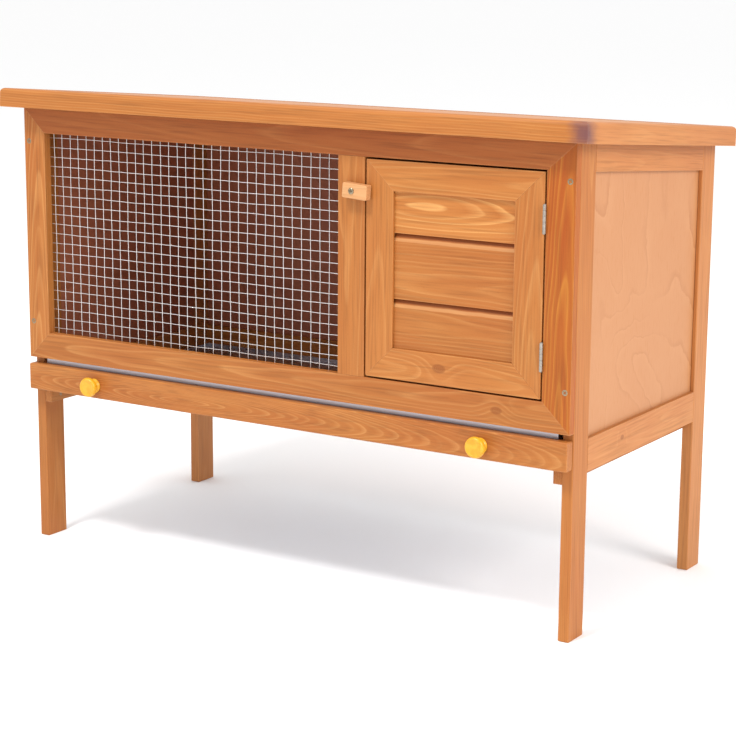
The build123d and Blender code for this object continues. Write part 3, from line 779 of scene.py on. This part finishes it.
STAINS = {
    Stain.HONEY: FirStain(),
    # The side stain is lighter than the honey stain: painted light on the side faces.
    Stain.SIDE: FirStain(base=(0.500, 0.203, 0.060), deep=(0.415, 0.138, 0.032), pale=(0.575, 0.268, 0.094)),
    Stain.PALE: FirStain(base=(0.600, 0.300, 0.125), deep=(0.520, 0.225, 0.078), pale=(0.680, 0.385, 0.185),
                         red=(0.540, 0.240, 0.090), rubbed_and_lit=(0.740, 0.470, 0.270)),
    # Darker, redder stain: painted shade under the roof's overhang.
    Stain.SHADED_UNDER_ROOF: FirStain(base=(0.404, 0.122, 0.025), deep=(0.309, 0.070, 0.010), pale=(0.534, 0.204, 0.057)),
    Stain.FLAMED: FirStain(base=(0.415, 0.125, 0.014), deep=(0.330, 0.060, 0.005), pale=(0.560, 0.225, 0.030),
                           red=(0.400, 0.070, 0.006)),
}
SHEET_STAIN = VeneerStain()
# Darker copy of the sheet stain: painted shade for the hutch's inside.
SHADED_SHEET_STAIN = VeneerStain(
    base=(0.388, 0.127, 0.064), line=(0.278, 0.074, 0.029), glow=(0.436, 0.162, 0.092), red=(0.356, 0.104, 0.046)
)
GALVANISED_WIRE = Steel("galvanised_wire", (0.78, 0.72, 0.74), (0.55, 0.48, 0.48), 0.42, 0.55, 900.0)
GALVANISED_SHEET = Steel("galvanised_sheet", (0.62, 0.61, 0.68), (0.40, 0.39, 0.46), 0.46, 0.6, 130.0)
ZINC = Steel("bright_zinc", (0.47, 0.44, 0.40), (0.33, 0.29, 0.25), 0.38, 0.9, 700.0)
YELLOW_ZINC = Steel("yellow_zinc", (0.44, 0.37, 0.25), (0.20, 0.16, 0.11), 0.34, 0.9, 800.0)


def dress_board(board: Board) -> None:
    """Give a board its stain and softly rounded edges."""
    dress(board.node, STAINS[board.stain].material(board), board.edge)


def dress(node: str, material: Material, edge: float = 0.0) -> None:
    """Give a CAD node its finish and, where asked, softly rounded edges.

    Args:
        node: The CAD node.
        material: Its finish.
        edge: Radius of the rounding, in metres.
    """
    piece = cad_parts[node]
    piece.data.materials.clear()
    piece.data.materials.append(material)
    if edge:
        weld = piece.modifiers.new("weld", "WELD")
        weld.merge_threshold = WELD_REACH
        soften = piece.modifiers.new("soften", "BEVEL")
        soften.width = edge
        soften.segments = BEVEL_STEPS
        soften.limit_method = "ANGLE"
        soften.angle_limit = BEVEL_ANGLE
        normals = piece.modifiers.new("normals", "WEIGHTED_NORMAL")
        normals.keep_sharp = True
    log.info("dressed %s with %s", node, material.name)


def new_piece(name: str, form: Form, material: Material, smooth: bool = True) -> bpy.types.Object:
    """Turn a form into a piece in the scene.

    Args:
        name: The piece's name.
        form: Its geometry, which is freed.
        material: Its finish.
        smooth: Whether its faces are shaded smooth.

    Returns:
        The piece.
    """
    bmesh.ops.recalc_face_normals(form, faces=form.faces)
    mesh = bpy.data.meshes.new(name)
    form.to_mesh(mesh)
    form.free()
    mesh.polygons.foreach_set("use_smooth", [smooth] * len(mesh.polygons))
    mesh.materials.append(material)
    piece = bpy.data.objects.new(name, mesh)
    bpy.context.scene.collection.objects.link(piece)
    return piece


def place(piece: bpy.types.Object, body: Body, slot: Slot, *nodes: str) -> None:
    """Ride a new piece on its body and hide the CAD nodes that it replaces.

    Args:
        piece: The piece.
        body: The body that carries it.
        slot: The record's material slot; not used.
        nodes: CAD nodes that it replaces.
    """
    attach(piece, body.value)
    if nodes:
        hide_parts(*nodes)
    log.info("made %s on %s", piece.name, body.value)


def add_rings(form: Form, rings: Sequence[Sequence[Vector]]) -> None:
    """Skin a row of rings, with a fan over each end.

    Args:
        form: The form to add to.
        rings: Points of each ring, the same number in each.
    """
    made = [[form.verts.new(point) for point in ring] for ring in rings]
    count = len(made[0])
    for near, far in zip(made, made[1:]):
        for i in range(count):
            form.faces.new((near[i], near[(i + 1) % count], far[(i + 1) % count], far[i]))
    for ring in (made[0], made[-1]):
        middle = form.verts.new(sum((vert.co for vert in ring), Vector()) / count)
        for i in range(count):
            form.faces.new((ring[i], ring[(i + 1) % count], middle))


def circle(radius: float, height: float, sides: int) -> list[Vector]:
    """Evenly spaced points round the Z axis."""
    angles = [i * (math.tau / sides) for i in range(sides)]
    return [Vector((radius * math.cos(angle), radius * math.sin(angle), height)) for angle in angles]


def solids(node: str) -> list[tuple[Vector, Vector]]:
    """The lowest and highest corners of each separate solid in a CAD node.

    Args:
        node: The CAD node.

    Returns:
        A pair of corners for each solid, in order of place.
    """
    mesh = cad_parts[node].data
    keys = [tuple(round(c / MM, 2) for c in vert.co) for vert in mesh.vertices]
    parent = {key: key for key in keys}

    def root(key: tuple[float, ...]) -> tuple[float, ...]:
        """Find the key that stands for a key's solid.

        Args:
            key: A corner's rounded place.

        Returns:
            The solid's own key.
        """
        while parent[key] != key:
            parent[key] = parent[parent[key]]
            key = parent[key]
        return key

    for polygon in mesh.polygons:
        first, *others = (root(keys[index]) for index in polygon.vertices)
        for other in others:
            parent[root(other)] = root(first)
    found: dict[tuple[float, ...], list[tuple[float, ...]]] = {}
    for key in parent:
        found.setdefault(root(key), []).append(key)
    boxes = [
        (Vector([min(c) for c in zip(*points)]) * MM, Vector([max(c) for c in zip(*points)]) * MM)
        for points in found.values()
    ]
    return sorted(boxes, key=lambda box: tuple(box[0]))


@dataclass
class Carcass:
    """Legs, front frame, rails, panels and partition."""

    leg_edge: float = 1.3 * MM
    sheet_edge: float = 0.3 * MM
    side_stretch: tuple[float, float, float] = (3.0, 4.4, 2.6)
    back_stretch: tuple[float, float, float] = (3.6, 3.0, 2.4)

    def boards(self) -> list[Board]:
        """Every fir board of the carcass, with its own cut."""
        return [
            Board("front_stile_left", depth=18 * MM, ring_width=2.2 * MM, taper=2.4, tone=0.02, contrast=1.15),
            Board("front_stile_centre", depth=40 * MM, ring_width=2.7 * MM, contrast=0.7),
            Board("front_stile_right", depth=17 * MM, ring_width=2.8 * MM, waviness=12 * MM,
                  tone=-0.12, contrast=1.35, stain=Stain.FLAMED),
            # The top rail's darker, redder stain and lower tone are painted shade from the roof's overhang.
            Board("front_rail_top", depth=46 * MM, ring_width=2.7 * MM, tone=-0.16, contrast=0.75,
                  stain=Stain.SHADED_UNDER_ROOF),
            Board("front_rail_low", depth=26 * MM, ring_width=2.2 * MM, tone=-0.08,
                  knot=(0.329, -0.2015, 0.286), knot_radius=5.5 * MM),
            Board("leg_front_right", depth=55 * MM, tone=0.06, contrast=0.6, edge=self.leg_edge),
            Board("leg_front_left", depth=55 * MM, tone=-0.07, contrast=0.6, edge=self.leg_edge),
            # The back legs and side rails take the lighter side stain: painted light on the sides.
            Board("leg_back_right", depth=60 * MM, contrast=0.5, edge=self.leg_edge, stain=Stain.SIDE),
            Board("leg_back_left", depth=48 * MM, tone=-0.02, contrast=0.6, edge=self.leg_edge, stain=Stain.SIDE),
            Board("side_rail_low_right", depth=44 * MM, contrast=0.6, knot=(0.431, -0.052, 0.236),
                  knot_radius=3.5 * MM, stain=Stain.SIDE),
            Board("side_rail_low_left", depth=40 * MM, contrast=0.7, stain=Stain.SIDE),
            Board("side_rail_top_right", depth=50 * MM, slope=ROOF_PITCH, contrast=0.5, stain=Stain.SIDE),
            Board("side_rail_top_left", depth=50 * MM, slope=ROOF_PITCH, contrast=0.6, stain=Stain.SIDE),
            Board("back_rail_low", depth=32 * MM, tone=-0.04),
            Board("back_rail_top", depth=38 * MM, tone=0.02),
            Board("back_stile", depth=30 * MM),
            Board("partition_battens", depth=30 * MM),
            Board("tray_runner_left", depth=30 * MM),
            Board("tray_runner_right", depth=30 * MM, tone=-0.1),
        ]

    def build(self) -> None:
        """Dress the boards and the panels."""
        for board in self.boards():
            dress_board(board)
        # The left side panel, partition and back panels take the darker sheet stain: painted shade of the inside.
        sheets = {
            "side_panel_right": (SHEET_STAIN, self.side_stretch),
            "side_panel_left": (SHADED_SHEET_STAIN, self.side_stretch),
            "partition": (SHADED_SHEET_STAIN, self.side_stretch),
            "back_panel_run": (SHADED_SHEET_STAIN, self.back_stretch),
            "back_panel_nest": (SHADED_SHEET_STAIN, self.back_stretch),
        }
        for node, (stain, stretch) in sheets.items():
            dress(node, stain.material(node, stretch), self.sheet_edge)
        dress_board(Board("rail_dowels", depth=20 * MM, tone=0.2, contrast=0.4, edge=0.0))


@dataclass
class WireFront:
    """Welded wire: round wires, each a little wavy, that cross at set-down welds."""

    pitch_across: float = 14.4 * MM
    pitch_up: float = 13.5 * MM
    radius: float = 0.5 * MM
    layer_gap: float = 0.62 * MM
    wobble: float = 0.5 * MM
    slow_share: float = 0.7
    quick_share: float = 0.35
    end_share: float = 0.3
    tip: float = 0.9
    sides: int = 8
    seed: int = 4

    def wire(self, form: Form, points: Sequence[Vector], upright: bool) -> None:
        """Add one wire along its points.

        Args:
            form: The form to add to.
            points: The wire's centre line.
            upright: Whether it runs up, else across.
        """
        turn = Matrix.Identity(3) if upright else Matrix.Rotation(math.pi / 2, 3, "Y")
        spokes = [turn @ spoke for spoke in circle(self.radius, 0.0, self.sides)]
        add_rings(form, [[point + spoke for spoke in spokes] for point in points])

    def build(self) -> None:
        """Weave the front and dress its staples."""
        low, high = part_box("front_mesh")
        chance = random.Random(self.seed)
        form = bmesh.new()
        near = low.y + self.radius
        columns = round((high.x - low.x - 2 * self.radius) / self.pitch_across) + 1
        rows = round((high.z - low.z - 2 * self.radius) / self.pitch_up) + 1
        for column in range(columns):
            x = low.x + self.radius + column * self.pitch_across
            self.wire(form, self.wander(chance, Vector((x, near, low.z + self.radius)), rows, True), True)
        for row in range(rows):
            z = low.z + self.radius + row * self.pitch_up
            start = Vector((low.x + self.radius, near + self.layer_gap, z))
            self.wire(form, self.wander(chance, start, columns, False), False)
        piece = new_piece("wire_front", form, GALVANISED_WIRE.material())
        place(piece, Body.HUTCH, Slot.WIRE, "front_mesh")
        dress("mesh_staples", ZINC.material())

    def wander(self, chance: random.Random, start: Vector, crossings: int, upright: bool) -> list[Vector]:
        """A wire's centre line, pushed about a little between its welds.

        Args:
            chance: Where the wander comes from.
            start: The wire's first point.
            crossings: How many wires it crosses.
            upright: Whether it runs up, else across.

        Returns:
            Points at each weld and midway between.
        """
        pitch = self.pitch_up if upright else self.pitch_across
        across, up = Vector((1, 0, 0)), Vector((0, 0, 1))
        along, aside = (up, across) if upright else (across, up)
        wave, phase = chance.uniform(2.5, 6.0), chance.uniform(0, math.tau)
        points = []
        for half in range(2 * crossings - 1):
            quick = chance.uniform(-self.quick_share, self.quick_share)
            sway = self.wobble * (self.slow_share * math.sin(half / wave + phase) + quick)
            ends = self.end_share if half in (0, 2 * crossings - 2) else 1.0
            points.append(start + along * half * pitch / 2 + aside * sway * ends)
        points[0] -= along * self.radius * self.tip
        points[-1] += along * self.radius * self.tip
        return points


@dataclass
class CrossScrews:
    """Screws with a cross recess, one for each solid of a CAD node."""

    node: str
    body: Body
    way: tuple[float, float, float]
    shank: float
    domed: bool = False
    sides: int = 40
    face_rings: int = 12
    head_fit: float = 0.94
    arm_length: float = 0.62
    arm_half_width: float = 0.13
    arm_depth: float = 0.55

    def recess(self, x: float, y: float, head: float) -> float:
        """How deep the cross is at a point of the head.

        Args:
            x: Across the head.
            y: Up the head.
            head: The head's radius.

        Returns:
            The depth in metres.
        """
        arm, half_width = self.arm_length * head, self.arm_half_width * head
        inside = min(abs(x), abs(y)) < half_width and max(abs(x), abs(y)) < arm
        reach = math.hypot(x, y) / arm
        return self.arm_depth * head * (1 - 0.75 * reach) if inside else 0.0

    def add(self, form: Form, seat: Matrix, head: float, length: float) -> None:
        """Add one screw that runs along -Z from its seat.

        Args:
            form: The form to add to.
            seat: Where the head's face is.
            head: The head's radius.
            length: The screw's length.
        """
        crown = 0.35 * head if self.domed else 0.06 * head
        rings = []
        for ring in range(1, self.face_rings + 1):
            reach = ring / self.face_rings
            points = circle(head * reach, -crown * reach ** 2.2, self.sides)
            rings.append([Vector((p.x, p.y, p.z - self.recess(p.x, p.y, head))) for p in points])
        flank = head * (0.5 if self.domed else 0.12) + crown
        taper = flank if self.domed else flank + head - self.shank
        rings += [circle(head, -flank, self.sides), circle(self.shank, -taper, self.sides)]
        rings += [circle(self.shank, -length * 0.86, self.sides), circle(self.shank * 0.15, -length, self.sides)]
        add_rings(form, [[seat @ point for point in ring] for ring in rings])

    def build(self) -> None:
        """Make all the screws of the node as one piece."""
        chance = random.Random(self.node)
        way = Vector(self.way)
        axis = max(range(3), key=lambda index: abs(way[index]))
        form = bmesh.new()
        for low, high in solids(self.node):
            seat = (low + high) / 2
            seat[axis] = low[axis] if way[axis] > 0 else high[axis]
            size = high - low
            head = max(size[index] for index in range(3) if index != axis) / 2
            turn = (-way).to_track_quat("Z", "Y").to_matrix().to_4x4()
            spin = Matrix.Rotation(chance.uniform(0.1, 1.4), 4, "Z")
            self.add(form, Matrix.Translation(seat) @ turn @ spin, head * self.head_fit, size[axis])
        name = self.node.replace("screw", "cross_screw")
        piece = new_piece(name, form, YELLOW_ZINC.material(), smooth=False)
        place(piece, self.body, Slot.SCREW, self.node)


@dataclass
class Door:
    """Mitred door with lapped slats, its hinges, and the turn button that keeps it shut."""

    frame_edge: float = 0.8 * MM
    slat_edge: float = 0.6 * MM
    button_edge: float = 1.6 * MM
    middle_lap: float = 494.6 * MM
    low_lap: float = 410.7 * MM
    small_shank: float = 1.3 * MM
    large_shank: float = 2.0 * MM

    def build(self) -> None:
        """Dress the door, its hinges and the button."""
        cuts = [
            Board("door_stile_left", depth=52 * MM, ring_width=3.0 * MM, tone=0.06, contrast=0.55,
                  edge=self.frame_edge),
            Board("door_stile_right", depth=30 * MM, contrast=0.8, edge=self.frame_edge),
            Board("door_rail_top", depth=22 * MM, tone=0.09, contrast=0.9, edge=self.frame_edge),
            Board("door_rail_low", depth=28 * MM, ring_width=2.2 * MM, tone=0.07, contrast=0.9,
                  knot=(0.246, -0.2015, 0.329), knot_radius=6.5 * MM, edge=self.frame_edge),
            Board("door_slat_top", depth=50 * MM, ring_width=2.8 * MM, lean=0.3, taper=0.2, sideways=0.0,
                  waviness=6 * MM, tone=0.2, contrast=1.45, knot=(0.236, -0.1975, 0.541), knot_radius=15 * MM,
                  knot_stretch=0.27, knot_push=-13 * MM, knot_shown=0.0, edge=self.slat_edge),
            # The middle and low slats carry a painted shadow under each lap and a painted highlight on the bevel
            # below.
            Board("door_slat_middle", depth=36 * MM, ring_width=2.8 * MM, lap=self.middle_lap, tone=-0.02,
                  contrast=0.85, edge=self.slat_edge),
            Board("door_slat_low", depth=30 * MM, ring_width=2.8 * MM, lap=self.low_lap, tone=-0.07,
                  contrast=0.75, edge=self.slat_edge),
            Board("turn_button", depth=30 * MM, contrast=0.5, edge=self.button_edge, stain=Stain.PALE),
        ]
        for board in cuts:
            dress_board(board)
        zinc = ZINC.material()
        for node in ("door_hinge_frame_leaves", "door_hinge_door_leaves", "door_hinge_pins"):
            dress(node, zinc)
        screws = (
            CrossScrews("door_hinge_frame_screws", Body.HUTCH, (1, 0, 0), self.small_shank),
            CrossScrews("door_hinge_door_screws", Body.DOOR, (-1, 0, 0), self.small_shank),
            CrossScrews("frame_screws", Body.HUTCH, (0, 1, 0), self.large_shank),
            CrossScrews("turn_button_screw", Body.HUTCH, (0, 1, 0), self.large_shank, domed=True),
        )
        for screw in screws:
            screw.build()


@dataclass
class Tray:
    """Pull-out tray: front board, shallow pan and two knobs."""

    board_edge: float = 2.0 * MM
    sheet_edge: float = 0.25 * MM
    knob_sides: int = 32
    knob_profile: tuple[tuple[float, float], ...] = (
        (10.2, 0.0), (10.2, 0.9), (9.7, 2.3), (8.5, 4.0), (8.0, 6.0), (9.0, 8.0), (12.2, 9.9), (13.7, 11.6),
        (13.95, 13.4), (13.7, 15.6), (12.8, 17.3), (11.6, 18.2), (10.6, 18.2), (9.9, 17.6), (9.4, 17.3),
        (4.0, 17.2),
    )

    def knob(self, node: str) -> None:
        """Turn one knob on the tray's front.

        Args:
            node: The knob's CAD node.
        """
        low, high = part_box(node)
        middle = (low + high) / 2
        seat = Matrix.Translation((middle.x, high.y, middle.z)) @ Matrix.Rotation(math.pi / 2, 4, "X")
        form = bmesh.new()
        rings = [[seat @ p for p in circle(r * MM, h * MM, self.knob_sides)] for r, h in self.knob_profile]
        add_rings(form, rings)
        piece = new_piece(node.replace("knob", "turned_knob"), form, KnobPlastic().material())
        smooth = piece.modifiers.new("smooth", "SUBSURF")
        smooth.levels = smooth.render_levels = 2
        place(piece, Body.TRAY, Slot.PLASTIC, node)

    def build(self) -> None:
        """Dress the board and pan, and make the knobs."""
        front = Board("tray_front", depth=14 * MM, ring_width=1.7 * MM, lean=0.4, taper=4.5, waviness=8 * MM,
                      contrast=1.0, ripple=1.5 * MM, edge=self.board_edge)
        dress_board(front)
        dress("tray_pan", GALVANISED_SHEET.material(), self.sheet_edge)
        for node in ("knob_left", "knob_right"):
            self.knob(node)
        screw = YELLOW_ZINC.material()
        for node in ("knob_screws", "pan_screws", "runner_screws"):
            dress(node, screw)


@dataclass
class Roof:
    """Framed sloping lid with its panel, battens, nails and back hinges."""

    pitch: float = ROOF_PITCH
    board_edge: float = 0.7 * MM
    nail_radius: float = 1.6 * MM
    nail_height: float = 0.35 * MM
    nail_spacing: float = 104 * MM
    nail_inset: float = 4 * MM
    nail_sides: int = 16
    burn_drop: float = 12 * MM
    panel_stretch: tuple[float, float, float] = (3.4, 3.8, 3.0)
    panel_edge: float = 0.3 * MM
    screw_shank: float = 1.3 * MM

    def boards(self) -> list[Board]:
        """The lid's fir boards."""
        corner = (CAD_BOX[1].x, CAD_BOX[0].y, CAD_BOX[1].z - self.burn_drop)
        return [
            Board("roof_board_front", depth=38 * MM, ring_width=3.1 * MM, contrast=0.8,
                  edge=self.board_edge, burn=corner),
            # The right roof board takes the lighter side stain: painted light on the side.
            Board("roof_board_right", depth=48 * MM, ring_width=3.0 * MM, contrast=0.45, slope=self.pitch,
                  edge=self.board_edge, burn=corner, stain=Stain.SIDE),
            Board("roof_board_back", depth=36 * MM, edge=self.board_edge),
            Board("roof_board_left", depth=40 * MM, tone=0.03, slope=self.pitch, edge=self.board_edge),
            Board("roof_battens", depth=34 * MM, slope=self.pitch, edge=self.board_edge),
        ]

    def nails(self) -> None:
        """Flat nail heads round the edge of the roof panel."""
        low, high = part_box("roof_panel")
        form = bmesh.new()
        spots = []
        across = round((high.x - low.x) / self.nail_spacing)
        back = round((high.y - low.y) / self.nail_spacing)
        left, right = low.x + self.nail_inset, high.x - self.nail_inset
        front, rear = low.y + self.nail_inset, high.y - self.nail_inset
        for i in range(across + 1):
            x = left + (right - left) * i / across
            spots += [(x, front), (x, rear)]
        for i in range(1, back):
            y = front + (rear - front) * i / back
            spots += [(left, y), (right, y)]
        tilt = Matrix.Rotation(-self.pitch, 4, "X")
        rim = self.nail_radius
        profile = ((rim * 0.5, -2 * MM), (rim * 0.5, -0.2 * MM), (rim, 0.0), (rim, self.nail_height * 0.6),
                   (rim * 0.7, self.nail_height))
        for x, y in spots:
            z = high.z - math.tan(self.pitch) * (y - low.y)
            seat = Matrix.Translation((x, y, z)) @ tilt
            add_rings(form, [[seat @ p for p in circle(r, h, self.nail_sides)] for r, h in profile])
        piece = new_piece("roof_panel_nails", form, ZINC.material())
        place(piece, Body.ROOF, Slot.ZINC)

    def build(self) -> None:
        """Dress the boards, panel and hinges, and make the nails."""
        for board in self.boards():
            dress_board(board)
        dress("roof_panel", SHEET_STAIN.material("roof_panel", self.panel_stretch), self.panel_edge)
        self.nails()
        zinc = ZINC.material()
        for node in ("roof_hinge_roof_leaves", "roof_hinge_back_leaves", "roof_hinge_pins"):
            dress(node, zinc)
        dress("roof_hinge_roof_screws", YELLOW_ZINC.material())
        CrossScrews("roof_hinge_back_screws", Body.HUTCH, (0, -1, 0), self.screw_shank).build()


@dataclass(frozen=True)
class Lamp:
    """A square soft light: where it stands, its side, its power and its colour."""

    name: str
    place: tuple[float, float, float]
    size: float
    power: float
    colour: Colour = (1.0, 1.0, 1.0)

    def build(self, aim: Sequence[float]) -> None:
        """Turn the light to a point.

        Args:
            aim: The point.
        """
        data = bpy.data.lights.new(self.name, "AREA")
        data.size, data.energy, data.color = self.size, self.power, self.colour
        lamp = bpy.data.objects.new(self.name, data)
        lamp.location = self.place
        lamp.rotation_mode = "QUATERNION"
        lamp.rotation_quaternion = (Vector(aim) - Vector(self.place)).to_track_quat("-Z", "Y")
        bpy.context.scene.collection.objects.link(lamp)


@dataclass
class Studio:
    """Plain pale floor, soft light and the camera."""

    azimuth: float = 32.37
    elevation: float = 11.80
    roll: float = 0.40
    distance: float = 2.857
    aim: tuple[float, float, float] = (0.0164, -0.0046, 0.2690)
    lens: float = 100.0
    floor_size: float = 60.0
    floor_drop: float = 0.2 * MM
    floor_colour: Colour = (0.97, 0.97, 0.97)
    floor_mottle: float = 0.1
    sky_strength: float = 1.0
    lamps: tuple[Lamp, ...] = (
        Lamp("key", (3.6, -0.9, 2.3), 1.6, 86.0, (1.0, 0.95, 0.92)),
        Lamp("high_front", (-0.2, -1.9, 3.5), 0.6, 88.0),
    )

    def floor(self) -> None:
        """A wide pale floor under the feet."""
        form = bmesh.new()
        bmesh.ops.create_grid(form, x_segments=4, y_segments=4, size=self.floor_size / 2)
        material, graph, shader = new_material("pale_floor")
        tone = graph.noise(graph.object_point(), 0.8)
        mottle = graph.times(tone, self.floor_mottle)
        graph.feed(shader.inputs["Base Color"], graph.mix(mottle, self.floor_colour, (1, 1, 1)))
        shader.inputs["Roughness"].default_value = 0.9
        piece = new_piece("floor", form, material)
        piece.location.z = -self.floor_drop

    def sky(self) -> None:
        """Even white light from all round."""
        world = bpy.data.worlds.new("studio")
        bpy.context.scene.world = world
        world.use_nodes = True
        background = world.node_tree.nodes["Background"]
        background.inputs["Color"].default_value = (1.0, 1.0, 1.0, 1.0)
        background.inputs["Strength"].default_value = self.sky_strength

    def camera(self) -> None:
        """The camera, from its angle round the hutch."""
        a, e = math.radians(self.azimuth), math.radians(self.elevation)
        back = Vector((math.sin(a) * math.cos(e), -math.cos(a) * math.cos(e), math.sin(e)))
        data = bpy.data.cameras.new("camera")
        data.lens = self.lens
        camera = bpy.data.objects.new("camera", data)
        camera.location = Vector(self.aim) + back * self.distance
        camera.rotation_mode = "QUATERNION"
        look = (-back).to_track_quat("-Z", "Y")
        camera.rotation_quaternion = look @ Euler((0, 0, math.radians(self.roll))).to_quaternion()
        bpy.context.scene.collection.objects.link(camera)
        bpy.context.scene.camera = camera

    def build(self) -> None:
        """Set up the stage."""
        bpy.context.scene.view_settings.view_transform = "Standard"
        self.floor()
        self.sky()
        for lamp in self.lamps:
            lamp.build(self.aim)
        self.camera()
        log.info("studio is set")


def main() -> None:
    """Build every sub-assembly, then the studio."""
    logging.basicConfig(level=logging.INFO, format="%(name)s: %(message)s")
    for assembly in (Carcass(), WireFront(), Door(), Tray(), Roof(), Studio()):
        assembly.build()
        log.info("%s done", type(assembly).__name__)


if __name__ == "__main__":
    main()
